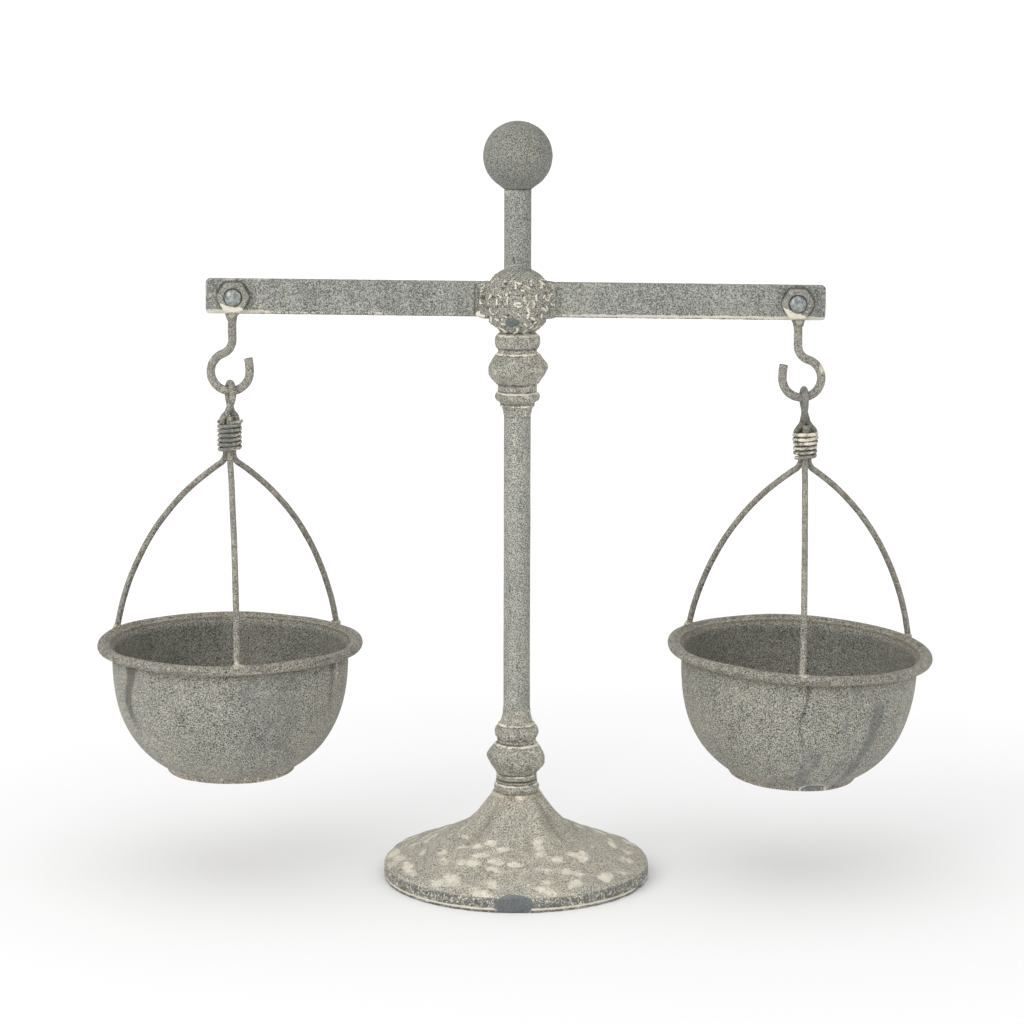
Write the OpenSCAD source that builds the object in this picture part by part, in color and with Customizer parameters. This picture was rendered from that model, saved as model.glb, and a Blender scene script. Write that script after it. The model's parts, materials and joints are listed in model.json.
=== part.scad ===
// Standing balance with two hanging bowls.
// A hollow cast foot and a turned column carry a ball-shaped head. A flat bar rocks on a pin in the
// head, and a wire hook swings from a bolt at each end of the bar. Each hook carries a bowl on three
// bent wires that a wound wire binds under an eye.
// Origin: middle of the foot, on the table. +X runs along the beam, +Y goes to the back, +Z is up.

/* [Foot] */
// Radius of the foot where it rests
foot_r = 79.5; // [66:0.5:95]
// Height of the foot, up to the lower collar
foot_h = 52; // [43:0.5:63]
// Height of the foot's upright edge
foot_edge_h = 7; // [4:0.5:9]
// Rounding above the upright edge
foot_edge_round = 5; // [3:0.5:6]
// Slope of the foot's top, in degrees
foot_slope = 22; // [14:1:22]
// Radius of the foot's neck
foot_neck_r = 14.2; // [13.8:0.1:17]
// Radius where the slope starts to sweep up to the neck
foot_sweep_r = 39; // [32:1:47]
// Wall of the hollow casting
foot_wall = 4; // [3:0.5:5]
// Radius of the hub in the hollow
hub_r = 12; // [10.5:0.5:13]
// Height of the hub's lower face
hub_z = 12.5; // [12:0.5:15]

/* [Column] */
// Outer diameter of the column tube and of the finial rod
tube_d = 15.9; // [13.3:0.1:19]
// Wall of the column tube
tube_wall = 1.6; // [1.2:0.1:2]
// Length of tube that shows between the two collars
tube_show = 175.3; // [146:0.5:210]
// Length of tube inside each collar
tube_seat = 18; // [12:0.5:22]
// Diameter of the tie rod inside the column
tie_d = 8; // [6:0.5:8]
// Radius of a collar's necks
collar_neck_r = 11.8; // [11:0.1:12.5]
// Radius of a collar's beads
collar_bead_r = 13.4; // [13:0.1:14.5]
// Radius of a collar's pointed waist
collar_waist_r = 18; // [15:0.1:21]
// Half the height of the pointed waist
collar_waist_h = 8.6; // [7:0.1:10]
// Distance from the waist to the bead on the tube's side
collar_bead_gap = 16.6; // [14.5:0.1:19]
// Distance from the foot to the waist of the lower collar
low_waist_z = 20.6; // [18:0.1:24]
// Length of the lower collar's taper onto the tube
low_taper = 15; // [12:0.5:18]
// Distance from the head's seat to the waist of the upper collar
top_waist_z = 22.1; // [19:0.1:26]
// Length of the upper collar's taper onto the tube
top_taper = 11.3; // [9:0.1:15]

/* [Head and finial] */
// Radius of the ball-shaped head
head_r = 20.3; // [19.5:0.1:24.3]
// Radius of the ring on which the head sits
seat_r = 9.6; // [8.5:0.1:10.5]
// Radius of the ball on top
finial_r = 20.2; // [16.8:0.1:24.2]
// Distance between the centres of the head and the ball on top
finial_rise = 84.5; // [70:0.5:101]
// Radius of the cast lumps beside the beam's mouths
lump_r = 3.3; // [2.5:0.1:3.6]
// Reach of the lumps from the middle of the head
lump_reach = 26; // [24:0.5:28]

/* [Beam] */
// Length of the beam
beam_len = 362.4; // [304:0.1:436]
// Height of the beam's flat bar
beam_h = 20.5; // [19:0.1:24.5]
// Thickness of the flat bar
beam_t = 6; // [5:0.1:7.2]
// Rounding of the bar's corners
beam_round = 2.6; // [1:0.1:4]
// Distance between the two end bolts
bolt_span = 330; // [279:0.1:334]
// Height of the beam's middle line above the head's centre
beam_rise = 1.1; // [0:0.1:1.5]
// Height of the pivot above the beam's middle line
pivot_lift = 2.4; // [1.5:0.1:3]
// Tilt at which the beam rests, right end low
beam_tilt = 0.55; // [0:0.05:2]
// Diameter of the pivot pin
pin_d = 6; // [5:0.1:7]
// Room above and below the beam in the head's slot
slot_room = 2; // [1.9:0.1:2.5]

/* [Bolts] */
// Thread diameter of the end bolts
bolt_d = 10; // [8:0.5:10.5]
// Width of the nuts and bolt heads across their flats
nut_flats = 17; // [16.5:0.1:18.5]
// Height of a nut
nut_h = 8; // [6.5:0.1:9]
// Height of a bolt head
bolt_head_h = 6.4; // [5:0.1:7]

/* [Hooks] */
// Wire of a hook
hook_wire = 5.1; // [4.3:0.1:6]
// Radius of the hook's open round, at the wire's middle
hook_r = 11.5; // [11:0.1:13.8]
// Radius of the bend above the open round
hook_bend_r = 9; // [7:0.1:10]
// Distance from the bolt down to the middle of the open round
hook_drop = 45.4; // [41:0.1:53]
// Distance of the open round's middle outwards from the bolt
hook_out = 4.2; // [0:0.1:5]
// Straight tip above the open round's middle
hook_tip = 8; // [5:0.1:10]

/* [Hangers] */
// Wire of the stays and of the eye
stay_wire = 3.9; // [3.3:0.1:4.6]
// Radius of the eye, at the wire's middle
eye_r = 5.8; // [5.6:0.1:7]
// Turn of the left eye out of the square, in degrees
eye_turn_left = 20; // [0:1:20]
// Distance from the bolt down to the underside of the binding
bind_drop = 93.6; // [90:0.1:112]
// Wire of the binding
bind_wire = 2.7; // [2.3:0.1:3.2]
// Rise of the binding for each turn
bind_pitch = 2.85; // [2.3:0.05:3.2]
// Turns of the left binding
bind_turns_left = 7; // [5:1:7]
// Turns of the right binding
bind_turns_right = 6; // [5:1:7]
// Distance from the bolt down to the middle of the bowl's rim
rim_drop = 208.7; // [174:0.1:250]
// Angle from the vertical at which the stays spread
stay_spread = 57; // [50:1:62]
// Radius of the small bend under the binding
stay_bend_r = 8; // [6:0.5:10]
// Turn of the left hanger about its own axis, in degrees
hanger_turn_left = 8; // [-10:0.5:10]
// Turn of the right hanger about its own axis, in degrees
hanger_turn_right = -4; // [-10:0.5:10]

/* [Bowls] */
// Radius of a bowl's wall at its top
bowl_r = 70.3; // [60:0.1:84]
// Depth of a bowl below the middle of its rim
bowl_depth = 77.7; // [66:0.1:93]
// Radius of the foot pressed into the bowl
bowl_foot_r = 39.5; // [33:0.1:47]
// Height of that foot
bowl_foot_h = 3.9; // [3:0.1:5]
// Sheet of the bowl
bowl_wall = 1.2; // [1:0.1:1.6]
// Radius of the rolled rim
curl_r = 3; // [2.5:0.1:3.5]
// Distance from the wall out to the middle of the rolled rim
curl_out = 5.8; // [5.5:0.1:7]

/* [Fits] */
// Running clearance on the radius of the pivot pin
pin_gap = 0.05; // [0.02:0.01:0.1]
// Gap between a seated tube or rod and its socket
seat_gap = 0.05; // [0.02:0.01:0.2]
// Gap round the tie rod and the bolts where they pass through
pass_gap = 0.1; // [0.05:0.05:0.2]
// Gap between wires and faces that move on each other
wire_gap = 0.3; // [0.2:0.05:0.5]
// Gap between the beam's faces and the sides of its slot
side_gap = 0.5; // [0.3:0.1:0.8]

/* [Hidden] */
$fn = 72;
eps = 0.01;
joint_gap = 0.15;
joint_swell = 1.04;
iron = "#6d7069";
steel = "#84867c";
pale = "#a5a399";

// Foot
slope_z = tan(foot_slope);
shoulder_x = foot_r - foot_edge_round + foot_edge_round * sin(foot_slope);
shoulder_z = foot_edge_h + foot_edge_round * cos(foot_slope);
sweep_lift = (foot_h - foot_line_z(foot_neck_r)) / pow(foot_sweep_r - foot_neck_r, 2);
washer_r = 8.5;
washer_h = 1.6;
base_nut_flats = 13;
base_nut_h = 6.5;
tie_tail = 1;

// Column, from the table up
tube_r = tube_d / 2;
tie_r = tie_d / 2;
low_z = foot_h;
low_h = low_waist_z + collar_bead_gap + low_taper;
tube_z0 = low_z + low_h;
tube_z1 = tube_z0 + tube_show;
top_h = top_waist_z + collar_bead_gap + top_taper;
seat_z = tube_z1 + top_h;
head_z = seat_z + sqrt(pow(head_r, 2) - pow(seat_r, 2));
bead_low = 2;
bead_top = 3;
bead_tube = 2.2;
waist_tip = 1.4;
end_band = 0.6;
taper_lip = 0.35;
taper_power = 1.8;

// Head and beam
pivot_z = head_z + beam_rise + pivot_lift;
rod_seat_z = sqrt(pow(head_r, 2) - pow(tube_r, 2));
slot_half_h = beam_h / 2 + slot_room;
slot_half_t = beam_t / 2 + side_gap;
slot_web = 1;
stud_r = 4;
stud_len = rod_seat_z - beam_rise - slot_half_h - slot_web;
pin_r = pin_d / 2;
pin_front_y = -12;
pin_head_r = 5;
pin_head_h = 3;
pin_head_y = 15.2;
pin_slot_w = 1.2;
tie_in_head = head_r + beam_rise - slot_half_h - slot_web;
lump_y = slot_half_t + lump_r + 0.2;
lump_z = 7.2;
finial_z = head_z + finial_rise;
finial_stud_r = 5;
finial_stud_len = 12;
flare_low = 1.9;
flare_high = 3.5;
flare_lip = 0.6;
flare_r = 11.2;

// Bolts and hooks
bolt_r = bolt_d / 2;
hook_wire_r = hook_wire / 2;
hook_y = beam_t / 2 + wire_gap + hook_wire_r;
bolt_head_y = hook_y + hook_wire_r + wire_gap;
bolt_end = 2.6;
hook_eye_r = bolt_r + 0.15 + hook_wire_r;
bend_turn = acos((hook_bend_r - hook_out) / (hook_bend_r + hook_r));
bend_z = -hook_drop + (hook_bend_r + hook_r) * sin(bend_turn);
hook_flare_r = 4.3;
hook_flare_z = 16;
hook_flare_half = hook_wire_r - joint_gap;
hook_low = hook_drop + hook_r;

// Hangers
stay_r = stay_wire / 2;
bundle_r = stay_r * joint_swell * 2 / sqrt(3) + 0.1;
bind_r = bundle_r + stay_r * joint_swell + 0.1 + bind_wire / 2;
eye_drop = hook_low + eye_r - hook_wire_r - wire_gap - stay_r;
leg_x = bundle_r;
leg_in = 5.5;
stay_in = 6.2;
stay_foot_r = bowl_r + curl_out + 0.9;
stay_foot_z = -rim_drop + curl_r + 0.3;
stay_az = [270, 30, 150];
weld_r = 3;
weld_lift = 0.5;

// Bowls
curl_x = bowl_r + curl_out;
flare_in_r = curl_out - 1.1;
flange_z = 0.4;
wall_top_z = flange_z - flare_in_r;
bowl_power = 2.5;
bowl_b = (bowl_depth - bowl_foot_h + wall_top_z)
    / pow(1 - pow(bowl_foot_r / bowl_r, bowl_power), 1 / bowl_power);
bowl_steps = 12;
curl_steps = 18;
arc_steps = 6;

// ---------- shared functions and shapes ----------

// Points along an arc in a plane
function arc_points(centre, r, a0, a1, n = arc_steps) =
    [for (i = [0:n]) let (a = a0 + (a1 - a0) * i / n) centre + r * [cos(a), sin(a)]];

// Height of the foot's straight slope, and of its top with the sweep to the neck
function foot_line_z(x) = shoulder_z + slope_z * (shoulder_x - x);
function foot_top_z(x) = foot_line_z(x) + (x < foot_sweep_r ? sweep_lift * pow(foot_sweep_r - x, 2) : 0);

// Place of an end bolt on the tilted beam; side is -1 for left and 1 for right
function bolt_at(side) = [
    side * bolt_span / 2 * cos(beam_tilt) - pivot_lift * sin(beam_tilt),
    0,
    pivot_z - side * bolt_span / 2 * sin(beam_tilt) - pivot_lift * cos(beam_tilt)
];

// Radius of the bowl's wall at a depth below the wall's top
function wall_r(d, r, b) = r * pow(1 - pow(d / b, bowl_power), 1 / bowl_power);

// Depth at which the wall has a given radius
function wall_d(x, r, b) = b * pow(1 - pow(x / r, bowl_power), 1 / bowl_power);

// Top of a binding, down from its bolt
function bind_top(turns) = -bind_drop + bind_wire + bind_pitch * (turns - 1);

// Closed ring of round wire in the XZ plane
module wire_ring(r, wire) {
    rotate([90, 0, 0]) rotate_extrude() translate([r, 0]) circle(d = wire);
}

// Bent round wire in the XZ plane, from angle a0 to a1; each end stops just short of the next stretch
module bent_wire(r, wire, a0, a1) {
    short = joint_gap / r * 180 / PI;
    rotate([90, 0, 0])
        rotate([0, 0, a0 + short])
            rotate_extrude(angle = a1 - a0 - 2 * short)
                translate([r, 0])
                    circle(d = wire);
}

// Straight round wire in the XZ plane between two points, short at both ends as a bent one is
module straight_wire(from, to, wire) {
    run = to - from;
    translate([from[0], 0, from[1]])
        rotate([0, atan2(run[0], run[1]), 0])
            translate([0, 0, joint_gap])
                cylinder(h = norm(run) - 2 * joint_gap, d = wire);
}

// Ball that joins two stretches of wire, a little fuller than the wire. Its poles lie on the wire's
// own line, which leans from the upright by turn.
module wire_joint(at, wire, turn = 0) {
    translate([at[0], 0, at[1]]) rotate([0, turn, 0]) sphere(d = wire * joint_swell);
}

// Hexagon with its flats towards the second axis
module hexagon(flats) {
    circle(d = flats / cos(30), $fn = 6);
}

// Hexagon nut or bolt head along Y, with its outer corners turned down
module hex_block(flats, h, outer_side) {
    turned_r = flats / cos(30) / 2 + 0.1;
    rotate([outer_side * 90, 0, 0])
        intersection() {
            linear_extrude(h) hexagon(flats);
            cylinder(h = h, r1 = turned_r + h * 0.6, r2 = flats / 2 - 0.2);
        }
}

// Moves its children with the tilted beam
module on_beam() {
    translate([0, 0, pivot_z])
        rotate([0, beam_tilt, 0])
            translate([0, 0, -pivot_lift])
                children();
}

// ---------- stand ----------

module base_foot() {
    slope_steps = 4;
    sweep_steps = 10;
    outer = concat(
        [[0, 0], [foot_r, 0]],
        arc_points([foot_r - foot_edge_round, foot_edge_h], foot_edge_round, 0, 90 - foot_slope),
        [for (i = [1:slope_steps])
            let (x = shoulder_x + (foot_sweep_r - shoulder_x) * i / slope_steps) [x, foot_top_z(x)]],
        [for (i = [1:sweep_steps])
            let (x = foot_sweep_r + (foot_neck_r - foot_sweep_r) * i / sweep_steps) [x, foot_top_z(x)]],
        [[0, foot_h]]
    );
    hollow_r = foot_r - foot_wall - 1;
    hollow_steps = 12;
    hollow = concat(
        [[hub_r, -1], [hollow_r, -1]],
        [for (i = [0:hollow_steps])
            let (x = hollow_r + (hub_r - hollow_r) * i / hollow_steps)
            [x, min(foot_top_z(x), foot_h) - foot_wall * 1.1]]
    );
    color(iron)
        difference() {
            rotate_extrude() polygon(outer);
            rotate_extrude() polygon(hollow);
            translate([0, 0, -1]) cylinder(h = hub_z + 1, r = hub_r + eps);
            translate([0, 0, -1]) cylinder(h = foot_h + 2, r = tie_r + pass_gap);
        }
}

module base_washer() {
    color(steel)
        translate([0, 0, hub_z - washer_h])
            difference() {
                cylinder(h = washer_h, r = washer_r);
                translate([0, 0, -1]) cylinder(h = washer_h + 2, r = tie_r + pass_gap);
            }
}

module base_nut() {
    color(steel)
        translate([0, 0, hub_z - washer_h - base_nut_h])
            difference() {
                linear_extrude(base_nut_h) hexagon(base_nut_flats);
                translate([0, 0, -1]) cylinder(h = base_nut_h + 2, r = tie_r + seat_gap);
            }
}

module tie_rod() {
    z0 = hub_z - washer_h - base_nut_h - tie_tail;
    z1 = head_z - head_r + tie_in_head;
    color(steel)
        translate([0, 0, z0]) cylinder(h = z1 - z0, r = tie_r);
}

// Turned collar; z runs from its wide end to the tube
module collar(waist_z, taper, bead, lift) {
    bead_z = waist_z + collar_bead_gap;
    total = bead_z + taper;
    bead_in = collar_bead_r - bead;
    taper_steps = 8;
    taper_r0 = collar_bead_r - 1.6;
    taper_r1 = tube_r + taper_lip;
    rotate_extrude()
        union() {
            square([collar_neck_r, bead_z]);
            square([collar_bead_r - end_band, lift]);
            intersection() {
                translate([bead_in, lift]) circle(r = bead);
                square([collar_bead_r + 1, lift + bead]);
            }
            polygon(concat(
                [[0, waist_z - collar_waist_h], [collar_neck_r, waist_z - collar_waist_h]],
                arc_points([collar_waist_r - waist_tip * 1.2, waist_z], waist_tip * 1.2, -48, 48),
                [[collar_neck_r, waist_z + collar_waist_h], [0, waist_z + collar_waist_h]]
            ));
            translate([collar_bead_r - bead_tube, bead_z]) circle(r = bead_tube);
            polygon(concat(
                [[0, bead_z]],
                [for (i = [0:taper_steps])
                    let (t = i / taper_steps)
                    [taper_r1 + (taper_r0 - taper_r1) * pow(1 - t, taper_power), bead_z + taper * t]],
                [[0, total]]
            ));
        }
}

module lower_collar() {
    color(pale)
        translate([0, 0, low_z])
            difference() {
                collar(low_waist_z, low_taper, bead_low, bead_low);
                translate([0, 0, -1]) cylinder(h = low_h + 2, r = tie_r + pass_gap);
                translate([0, 0, low_h - tube_seat]) cylinder(h = tube_seat + 1, r = tube_r + seat_gap);
            }
}

module shaft_tube() {
    color(pale)
        translate([0, 0, tube_z0 - tube_seat])
            difference() {
                cylinder(h = tube_show + 2 * tube_seat, r = tube_r);
                translate([0, 0, -1])
                    cylinder(h = tube_show + 2 * tube_seat + 2, r = tube_r - tube_wall);
            }
}

module upper_collar() {
    color(pale)
        difference() {
            translate([0, 0, seat_z])
                mirror([0, 0, 1])
                    collar(top_waist_z, top_taper, bead_top, bead_top * 2);
            translate([0, 0, tube_z1 - 1]) cylinder(h = top_h + 2, r = tie_r + pass_gap);
            translate([0, 0, tube_z1 - 1]) cylinder(h = tube_seat + 1, r = tube_r + seat_gap);
            translate([0, 0, head_z]) sphere(r = head_r + seat_gap);
        }
}

// One cast lump beside the mouth of the slot
module head_lump(x_side, y_side, z_side) {
    straight = lump_reach - lump_r;
    translate([0, y_side * lump_y, z_side * lump_z + beam_rise * (1 - z_side) / 2])
        rotate([0, x_side * 90, 0]) {
            cylinder(h = straight, r = lump_r);
            translate([0, 0, straight]) sphere(r = lump_r);
        }
}

module beam_head() {
    color(iron)
        translate([0, 0, head_z])
            difference() {
                union() {
                    sphere(r = head_r);
                    for (x_side = [-1, 1], y_side = [-1, 1], z_side = [-1, 1])
                        head_lump(x_side, y_side, z_side);
                }
                translate([-head_r - lump_reach, -slot_half_t, beam_rise - slot_half_h])
                    cube([2 * (head_r + lump_reach), 2 * slot_half_t, 2 * slot_half_h]);
                translate([0, pin_front_y - seat_gap, beam_rise + pivot_lift])
                    rotate([-90, 0, 0]) cylinder(h = pin_head_y - pin_front_y + 1, r = pin_r + pin_gap);
                translate([0, pin_head_y, beam_rise + pivot_lift])
                    rotate([-90, 0, 0]) cylinder(h = head_r, r = pin_head_r + pass_gap);
                translate([0, 0, -head_r - 1]) cylinder(h = tie_in_head + 1 + seat_gap, r = tie_r + seat_gap);
                translate([0, 0, rod_seat_z - stud_len]) cylinder(h = head_r, r = stud_r + seat_gap);
            }
}

module pivot_pin() {
    color(steel)
        translate([0, 0, pivot_z])
            rotate([-90, 0, 0])
                difference() {
                    union() {
                        translate([0, 0, pin_front_y]) cylinder(h = pin_head_y - pin_front_y + eps, r = pin_r);
                        translate([0, 0, pin_head_y]) cylinder(h = pin_head_h, r = pin_head_r);
                    }
                    translate([-pin_head_r - 1, -pin_slot_w / 2, pin_head_y + pin_head_h / 2])
                        cube([2 * pin_head_r + 2, pin_slot_w, pin_head_h]);
                }
}

module finial_rod() {
    z0 = head_z + rod_seat_z;
    z1 = finial_z - finial_r - flare_low;
    color(pale)
        difference() {
            union() {
                translate([0, 0, z0]) cylinder(h = z1 - z0, r = tube_r);
                translate([0, 0, z0 - stud_len + seat_gap]) cylinder(h = stud_len, r = stud_r);
                translate([0, 0, z1 - eps]) cylinder(h = finial_stud_len, r = finial_stud_r);
            }
            difference() {
                translate([0, 0, head_z]) sphere(r = head_r + seat_gap);
                translate([0, 0, head_z]) cylinder(h = head_r + 1, r = stud_r);
            }
        }
}

module finial_ball() {
    z0 = finial_z - finial_r - flare_low;
    color(iron)
        difference() {
            union() {
                translate([0, 0, finial_z]) sphere(r = finial_r);
                translate([0, 0, z0])
                    cylinder(h = flare_low + flare_high, r1 = tube_r + flare_lip, r2 = flare_r);
            }
            translate([0, 0, z0 - 1]) cylinder(h = finial_stud_len + 1 + seat_gap, r = finial_stud_r + seat_gap);
        }
}

// ---------- beam ----------

module beam_bar() {
    half = beam_len / 2;
    color(pale)
        on_beam()
            difference() {
                translate([0, beam_t / 2, 0])
                    rotate([90, 0, 0])
                        linear_extrude(beam_t)
                            union() {
                                square([beam_len - 2 * beam_round, beam_h], center = true);
                                square([beam_len, beam_h - 2 * beam_round], center = true);
                                for (x_side = [-1, 1], z_side = [-1, 1])
                                    translate([x_side * (half - beam_round), z_side * (beam_h / 2 - beam_round)])
                                        circle(r = beam_round);
                            }
                translate([0, -beam_t, pivot_lift])
                    rotate([-90, 0, 0]) cylinder(h = 2 * beam_t, r = pin_r + pin_gap);
                for (side = [-1, 1])
                    translate([side * bolt_span / 2, -beam_t, 0])
                        rotate([-90, 0, 0]) cylinder(h = 2 * beam_t, r = bolt_r + pass_gap);
            }
}

// Bolt from the back, with a domed end that stands out of the nut
module end_bolt(side) {
    front = beam_t / 2 + nut_h + bolt_end;
    dome_r = (pow(bolt_r, 2) + pow(bolt_end, 2)) / (2 * bolt_end);
    color(steel)
        on_beam()
            translate([side * bolt_span / 2, 0, 0]) {
                intersection() {
                    translate([0, -front, 0])
                        rotate([-90, 0, 0]) cylinder(h = front + bolt_head_y + eps, r = bolt_r);
                    translate([0, dome_r - front, 0])
                        rotate([-90, 0, 0])
                            union() {
                                sphere(r = dome_r);
                                cylinder(h = front + bolt_head_y + bolt_head_h, r = dome_r);
                            }
                }
                translate([0, bolt_head_y, 0]) hex_block(nut_flats, bolt_head_h, -1);
            }
}

module end_nut(side) {
    color(steel)
        on_beam()
            translate([side * bolt_span / 2, -beam_t / 2, 0])
                difference() {
                    hex_block(nut_flats, nut_h, 1);
                    translate([0, -nut_h - 1, 0])
                        rotate([-90, 0, 0]) cylinder(h = nut_h + 2, r = bolt_r + seat_gap);
                }
}

// ---------- hooks ----------

// Swell where the end of the hook's eye meets the shank; flat, so that it passes between bar and bolt head
module hook_flare() {
    flare_h = hook_flare_z - hook_eye_r;
    intersection() {
        translate([0, 0, -hook_flare_z])
            cylinder(h = flare_h, r1 = hook_wire_r * joint_swell, r2 = hook_flare_r);
        translate([-hook_flare_r - 1, -hook_flare_half, -hook_flare_z - 1])
            cube([2 * hook_flare_r + 2, 2 * hook_flare_half, flare_h + 2]);
    }
}

// Hook of the left side, with its bolt at the origin; its open round faces the column
module hook_shape() {
    bend_middle = [-hook_bend_r, bend_z];
    round_middle = [-hook_out, -hook_drop];
    tip_x = hook_r - hook_out;
    wire_ring(hook_eye_r, hook_wire);
    hook_flare();
    straight_wire([0, bend_z], [0, -hook_flare_z + 1], hook_wire);
    wire_joint([0, bend_z], hook_wire);
    translate([bend_middle[0], 0, bend_middle[1]]) bent_wire(hook_bend_r, hook_wire, -bend_turn, 0);
    wire_joint(bend_middle + hook_bend_r * [cos(bend_turn), -sin(bend_turn)], hook_wire, bend_turn);
    translate([round_middle[0], 0, round_middle[1]]) bent_wire(hook_r, hook_wire, 180 - bend_turn, 360);
    wire_joint([tip_x, -hook_drop], hook_wire);
    straight_wire([tip_x, -hook_drop], [tip_x, -hook_drop + hook_tip], hook_wire);
}

module hook_left() {
    color(steel) translate(bolt_at(-1) + [0, hook_y, 0]) hook_shape();
}

module hook_right() {
    color(steel) translate(bolt_at(1) + [0, hook_y, 0]) mirror([1, 0, 0]) hook_shape();
}

// ---------- hangers ----------

// Puts its children on a hanger's own axis, with the bolt's height as zero
module on_hanger(side, turn) {
    translate(bolt_at(side) + [side * hook_out, hook_y, 0])
        rotate([0, 0, turn])
            children();
}

// Eye bent from one wire: a round top and two legs that run down into the binding
module eye(turns) {
    top = bind_top(turns);
    fall = -eye_drop - top;
    reach = sqrt(pow(fall, 2) + pow(leg_x, 2));
    lean = asin(eye_r / reach) - atan(leg_x / fall);
    translate([0, 0, -eye_drop]) bent_wire(eye_r, stay_wire, -lean, 180 + lean);
    for (x_side = [-1, 1]) {
        touch = [x_side * eye_r * cos(lean), -eye_drop - eye_r * sin(lean)];
        wire_joint(touch, stay_wire);
        straight_wire(touch, [x_side * leg_x, top], stay_wire);
        wire_joint([x_side * leg_x, top], stay_wire);
        straight_wire([x_side * leg_x, top], [x_side * leg_x, top - leg_in], stay_wire);
    }
}

// Binding wound round the wires, drawn as touching rounds of wire
module binding(turns) {
    translate([0, 0, -bind_drop + bind_wire / 2])
        rotate_extrude()
            union() {
                for (i = [0:turns - 1])
                    translate([bind_r, i * bind_pitch]) circle(d = bind_wire);
                for (i = [0:turns - 2])
                    translate([bind_r - bind_wire / 4, i * bind_pitch]) square([bind_wire / 2, bind_pitch]);
            }
}

// Stay: straight in the binding, a small bend outwards, then a long bow down to the rim
module stay(turns, extra = 0) {
    wire = stay_wire + extra;
    bend_out = [bundle_r + stay_bend_r, -bind_drop];
    bow_from = bend_out - stay_bend_r * [cos(stay_spread), sin(stay_spread)];
    run = [stay_foot_r - bow_from[0], bow_from[1] - stay_foot_z];
    foot_angle = 2 * atan(run[0] / run[1]) - stay_spread;
    bow_r = run[0] / (cos(foot_angle) - cos(stay_spread));
    bow_middle = bow_from - bow_r * [cos(stay_spread), sin(stay_spread)];
    straight_wire([bundle_r, -bind_drop], [bundle_r, bind_top(turns) - stay_in], wire);
    wire_joint([bundle_r, -bind_drop], wire);
    translate([bend_out[0], 0, bend_out[1]]) bent_wire(stay_bend_r, wire, 180, 180 + stay_spread);
    wire_joint(bow_from, wire, -stay_spread);
    translate([bow_middle[0], 0, bow_middle[1]]) bent_wire(bow_r, wire, foot_angle, stay_spread);
}

// Beads that hold the stays' feet on the rolled rim
module welds(turns) {
    for (az = stay_az)
        rotate([0, 0, az])
            difference() {
                translate([stay_foot_r, 0, stay_foot_z + weld_lift]) sphere(r = weld_r);
                stay(turns, 2 * eps);
                rotate([0, 0, -az])
                    translate([0, 0, -rim_drop])
                        rotate_extrude() translate([curl_x, 0]) circle(r = curl_r + eps);
            }
}

// Bowl of thin sheet with a rolled rim and a pressed foot
module bowl() {
    in_r = bowl_r - bowl_wall;
    in_b = bowl_b - bowl_wall;
    foot_in = bowl_foot_r - bowl_wall;
    flare_middle = [bowl_r + flare_in_r, wall_top_z];
    outer_end = wall_d(bowl_foot_r, bowl_r, bowl_b);
    inner_end = wall_d(foot_in, in_r, in_b);
    outer = [for (i = [1:bowl_steps])
        let (d = outer_end * sin(90 * i / bowl_steps)) [wall_r(d, bowl_r, bowl_b), wall_top_z - d]];
    inner = [for (i = [bowl_steps:-1:1])
        let (d = inner_end * sin(90 * i / bowl_steps)) [wall_r(d, in_r, in_b), wall_top_z - d]];
    translate([0, 0, -rim_drop])
        rotate_extrude()
            polygon(concat(
                arc_points(flare_middle, flare_in_r, 116, 180),
                outer,
                [[bowl_foot_r, -bowl_depth], [0, -bowl_depth], [0, -bowl_depth + bowl_wall],
                    [foot_in, -bowl_depth + bowl_wall]],
                inner,
                arc_points(flare_middle, flare_in_r + bowl_wall, 180, 106),
                arc_points([curl_x, 0], curl_r, 150, -180, curl_steps)
            ));
}

module eye_left() {
    color(steel) on_hanger(-1, 0) rotate([0, 0, 90 - eye_turn_left]) eye(bind_turns_left);
}

module eye_right() {
    color(steel) on_hanger(1, 0) rotate([0, 0, 90]) eye(bind_turns_right);
}

module binding_left() {
    color(pale) on_hanger(-1, 0) binding(bind_turns_left);
}

module binding_right() {
    color(pale) on_hanger(1, 0) binding(bind_turns_right);
}

module stay_left(number) {
    color(steel) on_hanger(-1, hanger_turn_left + stay_az[number]) stay(bind_turns_left);
}

module stay_right(number) {
    color(steel) on_hanger(1, hanger_turn_right + stay_az[number]) stay(bind_turns_right);
}

module welds_left() {
    color("#cfc7b4") on_hanger(-1, hanger_turn_left) welds(bind_turns_left);
}

module welds_right() {
    color("#cfc7b4") on_hanger(1, hanger_turn_right) welds(bind_turns_right);
}

module bowl_left() {
    color(iron) on_hanger(-1, 0) bowl();
}

module bowl_right() {
    color(iron) on_hanger(1, 0) bowl();
}

base_foot();
base_washer();
base_nut();
tie_rod();
lower_collar();
shaft_tube();
upper_collar();
beam_head();
pivot_pin();
finial_rod();
finial_ball();
beam_bar();
end_bolt(-1);  // bolt_left
end_bolt(1);  // bolt_right
end_nut(-1);  // nut_left
end_nut(1);  // nut_right
hook_left();
hook_right();
eye_left();
binding_left();
stay_left(0);  // stay_front_left
stay_left(1);  // stay_back_a_left
stay_left(2);  // stay_back_b_left
welds_left();
bowl_left();
eye_right();
binding_right();
stay_right(0);  // stay_front_right
stay_right(1);  // stay_back_a_right
stay_right(2);  // stay_back_b_right
welds_right();
bowl_right();
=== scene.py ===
import bmesh
import bpy
import json
import math
import numpy as np
from mathutils import Matrix, Vector, noise


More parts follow.
